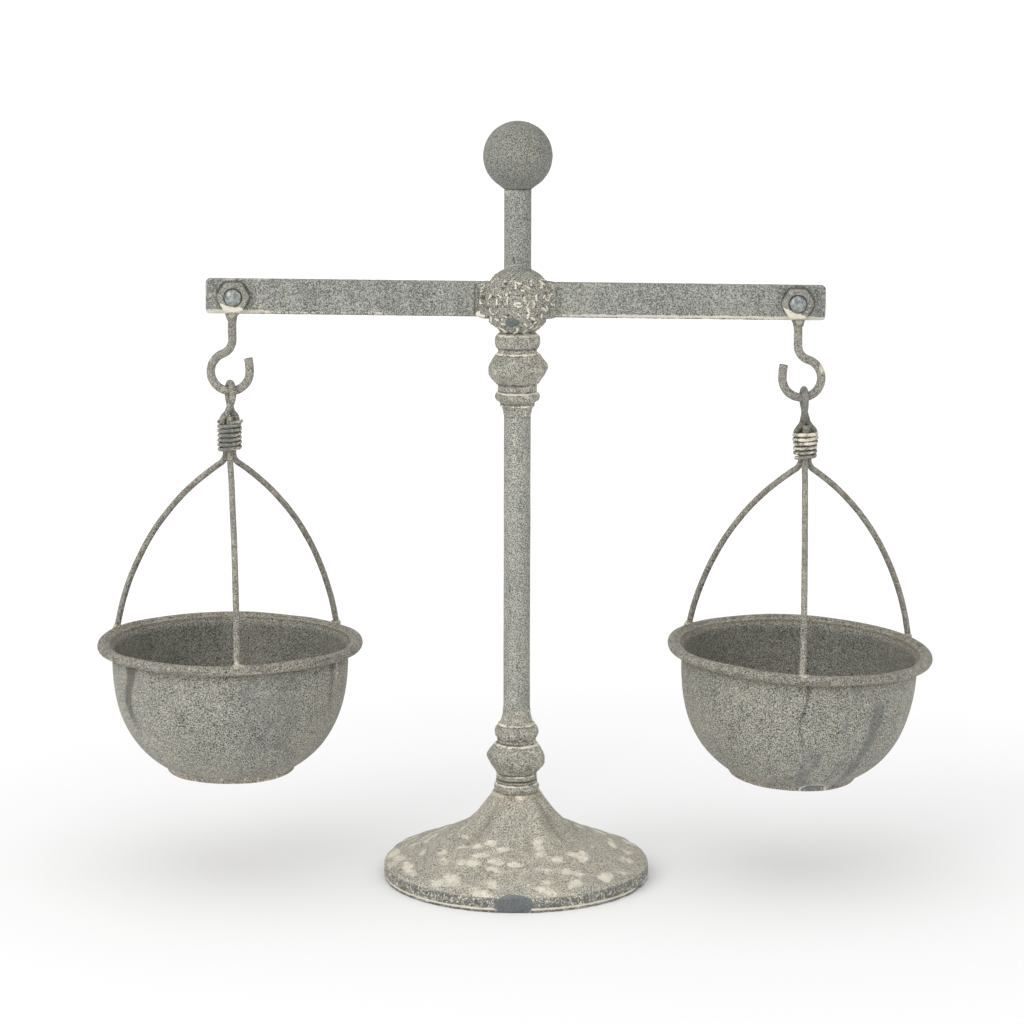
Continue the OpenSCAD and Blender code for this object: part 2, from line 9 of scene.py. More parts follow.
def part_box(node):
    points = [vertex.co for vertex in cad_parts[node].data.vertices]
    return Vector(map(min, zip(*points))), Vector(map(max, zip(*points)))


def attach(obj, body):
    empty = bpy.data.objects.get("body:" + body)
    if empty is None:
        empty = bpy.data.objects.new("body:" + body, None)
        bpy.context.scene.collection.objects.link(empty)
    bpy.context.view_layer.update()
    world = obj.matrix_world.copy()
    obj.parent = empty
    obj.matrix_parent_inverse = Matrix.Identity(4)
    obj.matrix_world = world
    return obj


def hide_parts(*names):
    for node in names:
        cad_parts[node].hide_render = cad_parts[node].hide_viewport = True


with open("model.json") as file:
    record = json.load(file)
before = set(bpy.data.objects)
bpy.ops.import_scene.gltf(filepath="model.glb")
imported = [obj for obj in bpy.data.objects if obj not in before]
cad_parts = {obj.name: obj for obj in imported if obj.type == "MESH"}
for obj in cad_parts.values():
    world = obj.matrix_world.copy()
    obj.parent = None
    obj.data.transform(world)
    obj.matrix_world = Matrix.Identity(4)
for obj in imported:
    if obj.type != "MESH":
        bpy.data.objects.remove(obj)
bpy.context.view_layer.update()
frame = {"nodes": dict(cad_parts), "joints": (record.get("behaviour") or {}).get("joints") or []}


# ---------- Foot ----------
# Hollow iron casting, hammered all over its top, with soft flutes under the neck. A cream wash stays in
# the hammer marks and along the lower edge, and the upright edge is darker, with dark zinc rubbed bare.
# The troughs of the flutes, the bottom strip of the edge and the hollow inside are painted dark as shade.

mm = 0.001


class Value:
    """An output socket of a node. Python's operators on it add Math nodes to its tree."""

    def __init__(self, tree, socket=None):
        self.tree = tree
        self.socket = socket

    def node(self, kind, settings=None, inputs=None, output=0):
        """Adds a node, sets its settings first and then its sockets, and gives one of its outputs."""
        made = self.tree.nodes.new(kind)
        for name, setting in (settings or {}).items():
            setattr(made, name, setting)
        for name, value in (inputs or {}).items():
            if isinstance(value, Value):
                self.tree.links.new(value.socket, made.inputs[name])
            else:
                made.inputs[name].default_value = value
        return Value(self.tree, made.outputs[output] if made.outputs else None)

    def maths(self, operation, first, second=0.0):
        return self.node("ShaderNodeMath", {"operation": operation}, {0: first, 1: second})

    def __add__(self, other):
        return self.maths("ADD", self, other)

    def __radd__(self, other):
        return self.maths("ADD", other, self)

    def __sub__(self, other):
        return self.maths("SUBTRACT", self, other)

    def __rsub__(self, other):
        return self.maths("SUBTRACT", other, self)

    def __mul__(self, other):
        return self.maths("MULTIPLY", self, other)

    def __rmul__(self, other):
        return self.maths("MULTIPLY", other, self)

    def __truediv__(self, other):
        return self.maths("DIVIDE", self, other)

    def between(self, low, high):
        """0 below low, 1 above high and a smooth step between them."""
        settings = {"interpolation_type": "SMOOTHSTEP"}
        return self.node("ShaderNodeMapRange", settings, {0: self, 1: low, 2: high})

    def mix(self, first, second):
        """The first colour where this is 0 and the second where it is 1."""
        settings = {"data_type": "RGBA"}
        return self.node("ShaderNodeMix", settings, {0: self, 6: first, 7: second}, 2)

    def tinted(self, amount, tint):
        """This colour, multiplied by a tint where amount is 1."""
        settings = {"data_type": "RGBA", "blend_type": "MULTIPLY"}
        return self.node("ShaderNodeMix", settings, {0: amount, 6: self, 7: tint}, 2)


def grey(red, green, blue):
    """A colour as the eye reads it, 0 to 255, made linear for the shader."""
    return [((c / 255 + 0.055) / 1.055) ** 2.4 for c in (red, green, blue)] + [1.0]


def blank_material(name):
    """A material with an empty tree, and a value to start that tree from."""
    material = bpy.data.materials.new(name)
    material.use_nodes = True
    material.node_tree.nodes.clear()
    return material, Value(material.node_tree)


def close_material(start, surface):
    """Ends a material with one shader that has these inputs."""
    shader = start.node("ShaderNodeBsdfPrincipled", inputs=surface)
    start.node("ShaderNodeOutputMaterial", inputs={"Surface": shader})


def washed_metal(name, dark, light, cream, contrast=1.0, haze=0.0, runs=0.0, soft=0.15):
    """Grey zinc paint with a cream wash rubbed in.

    The piece's own attributes say where: wash is cream, bare is smooth zinc, grime is dark, dirt in
    places and painted shade in grooves, gaps, pits and on shaded sides in others, brown is a brown
    tint, old rust under the paint and in a few places painted shade, and veins are thin cream worms.
    haze is how much cream there is away from them all, runs is how strongly upright drips darken the
    paint and soft is how gently the wash ends.
    """
    material, start = blank_material(name)
    place = start.node("ShaderNodeTexCoord", output="Object")

    def cloud(size, detail=2.0, where=place, distortion=0.0):
        values = {
            "Vector": where,
            "Scale": 1 / size,
            "Detail": detail,
            "Roughness": 0.6,
            "Distortion": distortion,
        }
        return start.node("ShaderNodeTexNoise", inputs=values) - 0.5

    def painted(attribute):
        return start.node("ShaderNodeAttribute", {"attribute_name": attribute}, output="Fac")

    grain = 0.66 * mm
    fine = cloud(grain, 3.0)
    speck = cloud(grain * 0.45, 1.0)
    patchy = cloud(5 * mm, 3.0)
    broad = cloud(28 * mm, 2.0)
    drips = start.node(
        "ShaderNodeMapping", {"vector_type": "POINT"}, {"Vector": place, "Scale": (1.0, 1.0, 0.12)}
    )
    drip = cloud(7 * mm, 2.0, drips)

    tone = 0.5 + (fine * 6.2 + speck * 5.4) * contrast + patchy * 0.45 + broad * 0.8
    tone = tone + drip * (2.4 * runs)
    paint = tone.between(0.0, 1.0).mix(grey(*dark), grey(*light))
    warm = (patchy * 1.5 + broad * 2.0 + 0.35).between(0.3, 0.9) * 0.35
    paint = paint.tinted(warm, (1.0, 0.95, 0.86, 1.0))
    brown = (painted("brown") + fine * 0.5 + patchy * 0.8).between(0.2, 0.9)
    paint = paint.tinted(brown, (0.66, 0.55, 0.44, 1.0))
    # grime: dirt in places, and painted shade in grooves, gaps, pits and on shaded sides
    grime = (painted("grime") + fine * 0.6 + patchy * 0.5).between(0.25, 0.95)
    paint = (grime * 0.72).mix(paint, grey(62, 61, 54))

    bare = (painted("bare") + fine * 0.9 + patchy * 0.8).between(0.35, 0.7)
    zinc = (0.5 + fine * 2.2 + broad).between(0.0, 1.0).mix(grey(92, 97, 98), grey(126, 131, 130))
    paint = bare.mix(paint, zinc)

    worm = cloud(3.2 * mm, 1.0, distortion=1.2)
    worm = 1 - start.maths("ABSOLUTE", worm).between(0.012, 0.05)
    worm = worm * (painted("veins") + patchy * 0.9).between(0.25, 0.75)
    wash = (painted("wash") + fine * 1.3 + patchy * 0.7).between(0.57 - soft, 0.57 + soft)
    dusted = (fine * 1.8 + speck * 1.5 + patchy * 0.4 + haze).between(0.18, 0.45) * 0.4
    cover = start.maths("MAXIMUM", start.maths("MAXIMUM", wash, worm * 0.9), dusted * (1 - bare * 0.8))
    washed = (0.5 + fine * 2.0 + patchy).between(0.0, 1.0).mix(
        [c * 0.80 for c in grey(*cream)[:3]] + [1.0], grey(*cream)
    )
    paint = cover.mix(paint, washed)

    relief = fine * 0.5 + speck * 0.3 + cover * 0.22 - bare * (fine * 0.35) + patchy * 0.4
    bump = start.node("ShaderNodeBump", inputs={"Strength": 0.8, "Distance": 0.3 * mm, "Height": relief})
    surface = {"Base Color": paint, "Normal": bump, "Specular IOR Level": 0.32}
    surface["Roughness"] = 0.64 + fine * 0.3 - bare * 0.24 + cover * 0.12
    surface["Metallic"] = 0.12 + bare * 0.5 - cover * 0.12
    close_material(start, surface)
    return material


def geometry_tree(name, sizes):
    """A Geometry Nodes tree with a named input for each size. Gives the tree and its inputs."""
    tree = bpy.data.node_groups.new(name, "GeometryNodeTree")
    for side in ("INPUT", "OUTPUT"):
        tree.interface.new_socket("Geometry", in_out=side, socket_type="NodeSocketGeometry")
    for size, kind in sizes.items():
        tree.interface.new_socket(size, in_out="INPUT", socket_type="NodeSocket" + kind)
    tree.interface.new_socket("Finish", in_out="INPUT", socket_type="NodeSocketMaterial")
    given = tree.nodes.new("NodeGroupInput")
    return tree, {socket.name: Value(tree, socket) for socket in given.outputs if socket.name}


def close_tree(tree, shape, finish):
    """Ends a tree: smooth faces, real geometry and its material."""
    smooth = shape.node("GeometryNodeSetShadeSmooth", inputs={"Geometry": shape})
    real = shape.node("GeometryNodeRealizeInstances", inputs={"Geometry": smooth})
    done = shape.node("GeometryNodeSetMaterial", inputs={"Geometry": real, "Material": finish})
    end = tree.nodes.new("NodeGroupOutput")
    tree.links.new(done.socket, end.inputs[0])


def placed(name, data):
    """An object that holds a mesh, a curve, a lamp or a camera, put in the scene."""
    made = bpy.data.objects.new(name, data)
    bpy.context.scene.collection.objects.link(made)
    return made


def line_object(name, points, closed=False):
    """A straight-sided curve through points, as an object."""
    line = bpy.data.curves.new(name, "CURVE")
    line.dimensions = "3D"
    spline = line.splines.new("POLY")
    spline.points.add(len(points) - 1)
    spline.points.foreach_set("co", [c for p in points for c in (*p, 1.0)])
    spline.use_cyclic_u = bool(closed)
    return placed(name, line)


def grow(name, base, tree, values):
    """Runs a tree on an object and gives the result as a plain mesh object. The base is removed."""
    modifier = base.modifiers.new("grow", "NODES")
    modifier.node_group = tree
    for item in tree.interface.items_tree:
        if item.in_out == "INPUT" and item.name in values:
            modifier[item.identifier] = values[item.name]
    evaluated = base.evaluated_get(bpy.context.evaluated_depsgraph_get())
    mesh = bpy.data.meshes.new_from_object(evaluated)
    base.modifiers.clear()
    bpy.data.objects.remove(base)
    mesh.name = name
    return placed(name, mesh)


lathe, given = geometry_tree("lathe", {"Around": "Int", "Reach": "Float"})
moved = given["Geometry"].node(
    "GeometryNodeTransform",
    inputs={
        "Geometry": given["Geometry"],
        "Translation": given["Reach"].node("ShaderNodeCombineXYZ", inputs={0: 0 - given["Reach"]}),
    },
)
ring = moved.node(
    "GeometryNodeCurvePrimitiveCircle", inputs={"Resolution": given["Around"], "Radius": given["Reach"]}
)
shell = moved.node("GeometryNodeCurveToMesh", inputs={"Curve": ring, "Profile Curve": moved})
shell = moved.node("GeometryNodeMergeByDistance", inputs={"Geometry": shell, "Distance": 0.001 * mm})
close_tree(lathe, shell, given["Finish"])


def outward(piece):
    """Turns every face of a closed shell outwards."""
    work = bmesh.new()
    work.from_mesh(piece.data)
    bmesh.ops.recalc_face_normals(work, faces=work.faces)
    work.to_mesh(piece.data)
    work.free()


def turned(name, outline, around, finish):
    """Turns an outline of (radius, height) points round Z. One that starts on the axis stays open."""
    closed = outline[0][0] > 0
    base = line_object(name, [(r, -z, 0.0) for r, z in outline], closed)
    reach = max(r for r, z in outline) / 2
    piece = grow(name, base, lathe, {"Around": around, "Reach": reach, "Finish": finish})
    outward(piece)
    return piece


def read(piece, what="co"):
    """The piece's points, or their normals, as rows of three numbers."""
    source = piece.data.vertices if what == "co" else piece.data.vertex_normals
    flat = np.empty(len(piece.data.vertices) * 3, np.float32)
    source.foreach_get("co" if what == "co" else "vector", flat)
    return flat.reshape(-1, 3).astype(float)


def write(piece, points):
    piece.data.vertices.foreach_set("co", points.astype(np.float32).ravel())
    piece.data.update()


def push(piece, amount):
    """Moves each point along its own normal."""
    write(piece, read(piece) + read(piece, "normal") * amount[:, None])


def mark(piece, **amounts):
    """Writes the attributes that the finish reads, each from 0 to 1, by point or all over."""
    everywhere = np.ones(len(piece.data.vertices))
    for name, amount in amounts.items():
        attribute = piece.data.attributes.new(name, "FLOAT", "POINT")
        attribute.data.foreach_set("value", (np.clip(amount, 0, 1) * everywhere).astype(np.float32))


def lumps(points, size, seed=0.0):
    """Soft noise from about -1 to 1 at each point, with lumps of that size."""
    scaled = points / size + seed
    return np.array([noise.noise(p) for p in scaled.tolist()])


def step(values, low, high):
    """0 below low, 1 above high (or the other way round) and a smooth step between them."""
    share = np.clip((values - low) / (high - low), 0, 1)
    return share * share * (3 - 2 * share)


def polar(points, centre=(0.0, 0.0)):
    """Each point's radius and its turn round an upright axis; -90 degrees is the front."""
    x, y = points[:, 0] - centre[0], points[:, 1] - centre[1]
    return np.hypot(x, y), np.arctan2(y, x)


def turn_from(angles, degrees):
    """How far each angle is from a direction, in radians, the short way round."""
    return (angles - math.radians(degrees) + math.pi) % (2 * math.pi) - math.pi


def stripe(angle, degrees, edge, core, wander=0.0):
    """An upright stripe at a turn: 1 nearer to it than core and 0 further than edge, in radians."""
    return step(np.abs(turn_from(angle, degrees) + wander), edge, core)


def fit(piece, body, slot, *nodes):
    """Fixes a finished piece to its body, in place of its CAD nodes. The slot is not used."""
    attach(piece, body)
    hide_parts(*nodes)


foot_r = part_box("base_foot")[1].x
foot_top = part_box("base_foot")[1].z
foot_edge = 7 * mm
foot_round = 5 * mm
foot_slope = math.radians(22)
foot_neck = 14.2 * mm
foot_sweep = 39 * mm
hub_r = 12 * mm
hub_z = 12.5 * mm
bore_r = 4.1 * mm
foot_wall = 4.4 * mm
ring_inner = foot_r - 5 * mm
shoulder_r = foot_r - foot_round * (1 - math.sin(foot_slope))
shoulder_z = foot_edge + foot_round * math.cos(foot_slope)
neck_line = shoulder_z + math.tan(foot_slope) * (shoulder_r - foot_neck)
sweep_lift = (foot_top - neck_line) / (foot_sweep - foot_neck) ** 2


def foot_height(r):
    """Height of the foot's top at a radius: a straight slope, then a sweep up to the neck."""
    return shoulder_z + math.tan(foot_slope) * (shoulder_r - r) + sweep_lift * max(foot_sweep - r, 0) ** 2


outline = [(foot_r - 0.5 * mm, 0.0), (foot_r, 0.6 * mm)]
outline += [(foot_r, z) for z in np.arange(1.2 * mm, foot_edge, 0.6 * mm)]
for a in np.linspace(0, math.pi / 2 - foot_slope, 9):
    outline.append((foot_r - foot_round * (1 - math.cos(a)), foot_edge + foot_round * math.sin(a)))
outline += [(r, foot_height(r)) for r in np.linspace(shoulder_r, foot_neck, 98)[1:]]
outline += [(foot_neck * 0.6, foot_top), (bore_r, foot_top), (bore_r, hub_z), (hub_r, hub_z)]
outline += [(r, foot_height(r) - foot_wall) for r in np.linspace(hub_r + 2 * mm, ring_inner, 22)]
outline.append((ring_inner, 0.0))

iron_paint = washed_metal(
    "washed_iron", (99, 97, 88), (212, 207, 192), (232, 225, 208), contrast=1.25, haze=0.05, soft=0.36
)
foot = turned("foot_casting", outline, 560, iron_paint)
points = read(foot)
radius, angle = polar(points)
height = points[:, 2]
surface = np.array([foot_height(r) for r in radius])
skin = (height > foot_edge * 0.9) & (height > surface - 1.5 * mm) & (radius > foot_neck * 0.98)
blur = lumps(points, 5 * mm)
rumple = lumps(points, 2.2 * mm, 7)

hammer = np.random.default_rng(5)
mark_count = 175
# the turn from one mark to the next that spreads any number of them evenly
golden_turn = 2.39996
dent = np.zeros(len(points))
foot_wash = np.zeros(len(points))
first_mark, last_mark = 31 * mm, foot_r - 3.5 * mm
for number in range(mark_count):
    share = (number + 0.5) / mark_count
    at_r = math.sqrt(first_mark**2 + (last_mark**2 - first_mark**2) * share) + hammer.normal(0, 1.3 * mm)
    at_turn = number * golden_turn + hammer.normal(0, 0.05)
    across = hammer.uniform(6.5, 13.0) * mm * (0.6 + 0.4 * share)
    along = hammer.uniform(3.8, 7.4) * mm * (0.6 + 0.4 * share)
    lean = hammer.normal(0.1, 0.3)
    depth = hammer.uniform(0.35, 0.95) * mm
    left_side = 0.5 - 0.5 * math.cos(at_turn)
    cream = hammer.uniform(0, 1) < 0.36 + 0.36 * left_side
    strength = hammer.uniform(0.55, 0.95) if cream else hammer.uniform(0.0, 0.4)
    near = np.flatnonzero(np.abs(radius - at_r) < 16 * mm)
    side = turn_from(angle[near], math.degrees(at_turn)) * radius[near]
    fall = (radius[near] - at_r) / math.cos(foot_slope)
    u = (side * math.cos(lean) + fall * math.sin(lean)) / across
    v = (fall * math.cos(lean) - side * math.sin(lean)) / along
    spread = np.sqrt(u * u + v * v) + 0.30 * blur[near] + 0.14 * rumple[near]
    dent[near] = np.maximum(dent[near], depth * step(spread, 1.1, 0.1))
    foot_wash[near] = np.maximum(foot_wash[near], strength * step(spread, 1.25, 0.3))

flutes = 0.62 * np.cos(7 * angle + 0.8) + 0.38 * np.cos(11 * angle + 2.1 + radius / (12 * mm))
flutes *= step(radius, foot_neck, 20 * mm) * step(radius, 58 * mm, 32 * mm)
upright = step(height, 10.5 * mm, 7.5 * mm) * (radius > ring_inner + 2 * mm)
thumb = np.hypot(turn_from(angle, -91) * foot_r / (11 * mm), (height - 4.5 * mm) / (7 * mm))
thumb = step(thumb + 0.12 * blur, 1.05, 0.92) * (radius > ring_inner + 2 * mm)
chip = np.hypot(turn_from(angle, -22) * foot_r / (7 * mm), (height - 3.5 * mm) / (4.5 * mm))
chip = step(chip + 0.25 * blur, 1.1, 0.8) * (radius > ring_inner + 2 * mm)
relief = (flutes * 1.25 * mm - dent) * skin
relief += (0.3 * blur + 0.12 * rumple) * mm * (skin | (upright > 0))
relief -= 0.35 * mm * thumb + 0.8 * mm * chip
push(foot, relief)
lip = np.abs(height - (2.1 + 0.5 * blur + 0.25 * rumple) * mm)
lip = step(lip, 0.9 * mm, 0.35 * mm) * (radius > foot_r - 2 * mm) * (1 - thumb) * (1 - chip)
crown = step(radius, 17.5 * mm, 14.5 * mm) * skin
# Painted shade: the flute troughs, the bottom 1.3 mm of the edge and the hollow inside are darkened. The
# upright edge is painted darker too.
mark(
    foot,
    wash=foot_wash * skin + lip + 0.75 * crown * (0.8 + 0.5 * blur),
    bare=0.55 * upright + 0.75 * thumb + 0.8 * chip,
    grime=0.75 * (height < 1.3 * mm) + 0.5 * step(-flutes, 0.0, 0.9) * skin + 0.7 * ~(skin | (upright > 0))
    + 0.85 * upright + 0.2 * thumb,
    veins=0.72 * upright * (1 - thumb) + 0.3 * skin,
    brown=0.8 * crown + 0.4 * step(height, 2.6 * mm, 0.8 * mm) + 0.25 * step(-flutes, 0.2, 0.8) * skin,
)
fit(foot, "stand", "washed_casting", "base_foot")


# ---------- Collars ----------
# Two iron castings, turned to the same pattern, that hold the ends of the column tube: a bead, a pointed
# waist between two narrow necks, and a taper onto the tube. Their edges hold the cream wash. Grooves
# and downward faces are painted darker as shade, and upward faces get more cream, partly wash and
# partly painted light from above.


casting = washed_metal("washed_casting", (75, 76, 70), (188, 186, 174), (234, 227, 210), contrast=1.35)


def bead(z, at, reach, half, bulge):
    """A round bead on a turned piece, or nothing away from it."""
    inside = np.clip(1 - ((z - at) / half) ** 2, 0, 1)
    return np.where(inside > 0, reach - bulge * (1 - np.sqrt(inside)), 0)


def waist(z, at, reach, upper, lower, blunt, high, low):
    """A blunt pointed waist with its own slope above and below, between two heights."""
    slope = np.where(z > at, upper, lower)
    return np.where(
        (z < high) & (z > low), reach + blunt - np.sqrt(blunt**2 + (slope * (z - at)) ** 2), 0
    )


def band(z, low, high, reach):
    return np.where((z >= low) & (z <= high), reach, 0)


def taper(z, wide_z, wide_r, thin_z, thin_r, power):
    """A hollow taper from a wide end to a thin one."""
    share = (z - wide_z) / (thin_z - wide_z)
    reach = thin_r + (wide_r - thin_r) * (1 - np.clip(share, 0, 1)) ** power
    return np.where((share >= 0) & (share <= 1), reach, 0)


tube_r = (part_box("shaft_tube")[1].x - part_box("shaft_tube")[0].x) / 2
# Millimetres from the casting's lower end. Beads: height, reach, half height, bulge. Bands: low, high,
# reach. Waist: height, reach, slope above, slope below, bluntness, top, bottom. Taper: wide height and
# reach, thin height and reach, power. Skew lifts the waist on one side; its other side is blunter.
collar_rows = {
    "lower_collar": {
        "beads": [(3.1, 13.5, 2.7, 2.2), (36.9, 13.1, 3.6, 2.0), (41.4, 11.2, 0.8, 0.5)],
        "bands": [(0.0, 1.4, 12.6), (5.8, 7.4, 12.3), (8.2, 10.6, 12.1), (29.5, 33.2, 11.6)],
        "waist": (20.9, 17.9, 0.72, 0.76, 1.3, 30.0, 10.4),
        "taper": (37.0, 12.5, 52.2, 8.05, 2.0),
        "edges": (5.4, 10.9, 29.4, 33.4, 41.5),
        "grooves": (5.9, 7.9, 11.2, 33.0, 30.4),
        "skew": 1.6,
        "sharp_side": 180,
    },
    "upper_collar": {
        "beads": [(44.3, 13.4, 4.4, 2.3), (11.8, 13.2, 2.6, 2.0), (6.4, 10.3, 0.7, 0.4)],
        "bands": [(36.8, 40.0, 11.5), (13.6, 19.2, 11.5), (46.0, 49.4, 11.2), (12.6, 14.0, 12.6)],
        "waist": (27.9, 18.1, 0.71, 0.80, 1.3, 37.4, 19.0),
        "taper": (11.0, 12.6, 0.0, 8.0, 1.9),
        "edges": (37.2, 14.1, 6.5, 48.2),
        "grooves": (36.7, 40.2, 19.2, 7.6, 14.8),
        "skew": -1.2,
        "sharp_side": 0,
    },
}
for node, rows in collar_rows.items():
    low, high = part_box(node)
    z = np.arange(0, (high.z - low.z) / mm + 0.01, 0.33)
    r = np.full(len(z), tube_r / mm + 0.05)
    for row in rows["beads"]:
        r = np.maximum(r, bead(z, *row))
    for row in rows["bands"]:
        r = np.maximum(r, band(z, *row))
    r = np.maximum(r, waist(z, *rows["waist"]))
    r = np.maximum(r, taper(z, *rows["taper"]))
    bore = tube_r / mm - 3
    outline = [(bore * mm, low.z)] + [(a * mm, low.z + b * mm) for a, b in zip(r, z)]
    outline.append((bore * mm, high.z))
    collar = turned(node + "_casting", outline, 220, casting)
    points = read(collar)
    radius, angle = polar(points)
    level = (points[:, 2] - low.z) / mm
    outside = radius > tube_r * 0.98
    waist_z = rows["waist"][0]
    at_waist = np.exp(-(((level - waist_z) / 6) ** 2))
    points[:, 2] += rows["skew"] * mm * at_waist * np.cos(angle) * -1
    away = (1 - np.cos(turn_from(angle, rows["sharp_side"]))) / 2
    blunt = 1.1 * away * np.exp(-(((level - waist_z) / 2.2) ** 2))
    scallop = 0.22 * np.cos(14 * angle) * np.exp(-(((level - waist_z + 5.5) / 2.2) ** 2))
    write(collar, points)
    flaw = lumps(points, 3.4 * mm, 3)
    small = lumps(points, 1.3 * mm, 9)
    crude = step(turn_from(angle, -35), -0.9, 0.5) * step(turn_from(angle, -35), 1.3, 0.6)
    push(collar, (0.16 * flaw + (0.07 + 0.16 * crude) * small + scallop - blunt) * mm * outside)
    edge = sum(step(np.abs(level - e), 0.95, 0.25) for e in rows["edges"])
    groove = sum(step(np.abs(level - g), 1.1, 0.3) for g in rows["grooves"])
    up = read(collar, "normal")[:, 2]
    # Painted shade in the grooves and on downward faces; upward faces get extra cream, partly painted light
    # from above.
    mark(
        collar,
        wash=0.8 * edge * (0.7 + 0.6 * flaw)
        + 0.5 * step(up, 0.3, 0.9) * (0.8 + 0.5 * flaw)
        + 0.3 * (scallop > 0.1),
        bare=0.45 * step(-up, 0.3, 0.9) * step(small, 0, 0.6) + 0.35 * (groove > 0.4),
        grime=0.85 * groove + 0.35 * step(-up, 0.25, 0.9),
        veins=0.42 + 0.35 * crude,
    )
    fit(collar, "stand", "washed_casting", node)


# ---------- Column tube and finial rod ----------
# Round steel tube between the collars and a short rod of the same size over the head. The wash lies in
# long upright streaks, and the rod has small casting pits near its foot.

bar_paint = washed_metal(
    "washed_bar", (79, 82, 78), (176, 177, 169), (212, 207, 193), contrast=1.05, runs=0.25
)
tube_paint = washed_metal(
    "washed_tube", (85, 87, 81), (194, 194, 184), (224, 218, 203), contrast=1.15, runs=0.25
)


def round_bar(name, low_z, high_z, radius, inner, finish):
    """A round bar or tube on the column's axis, closed at both ends."""
    levels = np.linspace(low_z, high_z, int((high_z - low_z) / (0.9 * mm)))
    shape = [(inner, low_z)] + [(radius, z) for z in levels] + [(inner, high_z)]
    return turned(name, shape, 110, finish)


tube_low, tube_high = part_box("shaft_tube")
tube_wall = 1.6 * mm
tube = round_bar("column_tube", tube_low.z, tube_high.z, tube_r, tube_r - tube_wall, tube_paint)
points = read(tube)
radius, angle = polar(points)
outside = radius > tube_r - tube_wall / 2
wave = lumps(points * [1, 1, 0.25], 6 * mm)
push(tube, (0.10 * wave + 0.05 * lumps(points, 1.6 * mm, 5)) * mm * outside)
shown_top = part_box("upper_collar")[0].z
drop = (shown_top - points[:, 2]) / (shown_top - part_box("lower_collar")[1].z)
streak = stripe(angle, -100, 0.42, 0.1, 0.12 * wave) * step(drop, 0.55, 0.0)
shaded_right_side = stripe(angle, -12, 0.55, 0.2)
nick = np.hypot(turn_from(angle, -88) * tube_r / (0.8 * mm), (points[:, 2] - 130 * mm) / (2.6 * mm))
# The tube's right side and its top just under the upper collar are painted darker as shade.
mark(
    tube,
    wash=0.55 * streak + 0.22 * step(lumps(points * [1, 1, 0.2], 5 * mm, 4), 0.0, 0.6),
    bare=0.18 * shaded_right_side,
    grime=0.32 * shaded_right_side + 0.8 * step(nick, 1.2, 0.6) + 0.5 * step(drop, 0.015, 0.0),
    veins=0.25 * step(drop, 0.12, 0.0) + 0.2 * (drop > 0.9),
)
fit(tube, "stand", "washed_bar", "shaft_tube")

finial_r = (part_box("finial_ball")[1].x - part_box("finial_ball")[0].x) / 2
finial_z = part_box("finial_ball")[1].z - finial_r
rod_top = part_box("finial_ball")[0].z
head_low, head_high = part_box("beam_head")
head_r = (head_high.y - head_low.y) / 2
head_z = (head_high.z + head_low.z) / 2
rod_foot = head_z + math.sqrt(head_r**2 - tube_r**2) - 1.5 * mm
rod = round_bar("finial_rod_bar", rod_foot, rod_top + 3.2 * mm, tube_r, 1 * mm, bar_paint)
points = read(rod)
radius, angle = polar(points)
outside = radius > tube_r * 0.9
rise = (points[:, 2] - rod_foot) / mm
crumble = step(rise, 14, 3) * outside
pits = step(lumps(points, 1.5 * mm, 2), 0.2, 0.65) * crumble
gash = np.hypot((turn_from(angle, -108) + 0.03 * (rise - 8)) * tube_r / mm, (rise - 7.6) / 2.6)
gash = step(gash, 1.1, 0.5)
push(rod, (0.08 * lumps(points, 4 * mm) - 0.28 * pits - 0.7 * gash) * mm * outside)
rod_end = (rod_top - rod_foot) / mm + 3
cap = step(rise, rod_end - 5, rod_end - 3)
# The rod's top, inside the finial's neck, is painted dark as shade.
mark(
    rod,
    wash=0.25 * crumble * (1 - pits) + 0.5 * cap * step(turn_from(angle, -85), 0.2, -0.2),
    bare=0.25 * cap * step(turn_from(angle, -70), 0.0, 0.4),
    grime=0.9 * gash + 0.5 * pits + 0.6 * step(rise, rod_end - 1.2, rod_end),
    veins=0.45 * crumble,
)
fit(rod, "stand", "washed_bar", "finial_rod")


# ---------- Head ----------
# Cast iron ball that carries the beam in a slot, with four lips that hug the bar at each mouth. It is
# pitted and ridged all over. The crests of the ridges are cream, partly wash and partly painted
# highlight, and the pits, the feet of the ridges, the slot and the pin's seat are painted dark as shade.
# The pivot pin goes in from the back.

beam_low, beam_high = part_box("beam_bar")
beam_t = beam_high.y - beam_low.y
slot_t = beam_t + 1 * mm
pivot = frame["joints"][0]["pos_m"]
slot_mid = pivot[2] - 2.4 * mm
slot_h = 24.5 * mm


def shaped(name, work):
    """Ends work on a mesh as an object."""
    mesh = bpy.data.meshes.new(name)
    work.to_mesh(mesh)
    work.free()
    return placed(name, mesh)


def block(name, low, high, finish=None):
    """A plain block between two corners, used to shape other pieces."""
    work = bmesh.new()
    bmesh.ops.create_cube(work, size=1.0)
    low, high = Vector(low), Vector(high)
    work.transform(Matrix.Translation((low + high) / 2) @ Matrix.Diagonal((*(high - low), 1)))
    made = shaped(name, work)
    if finish:
        made.data.materials.append(finish)
    return made


def peg(name, radius, start, end, sides=48):
    """A round peg between two points, used to shape other pieces."""
    run = Vector(end) - Vector(start)
    work = bmesh.new()
    middle = (Vector(start) + Vector(end)) / 2
    place = Matrix.Translation(middle) @ run.to_track_quat("Z", "Y").to_matrix().to_4x4()
    bmesh.ops.create_cone(
        work, cap_ends=True, segments=sides, radius1=radius, radius2=radius, depth=run.length, matrix=place
    )
    return shaped(name, work)


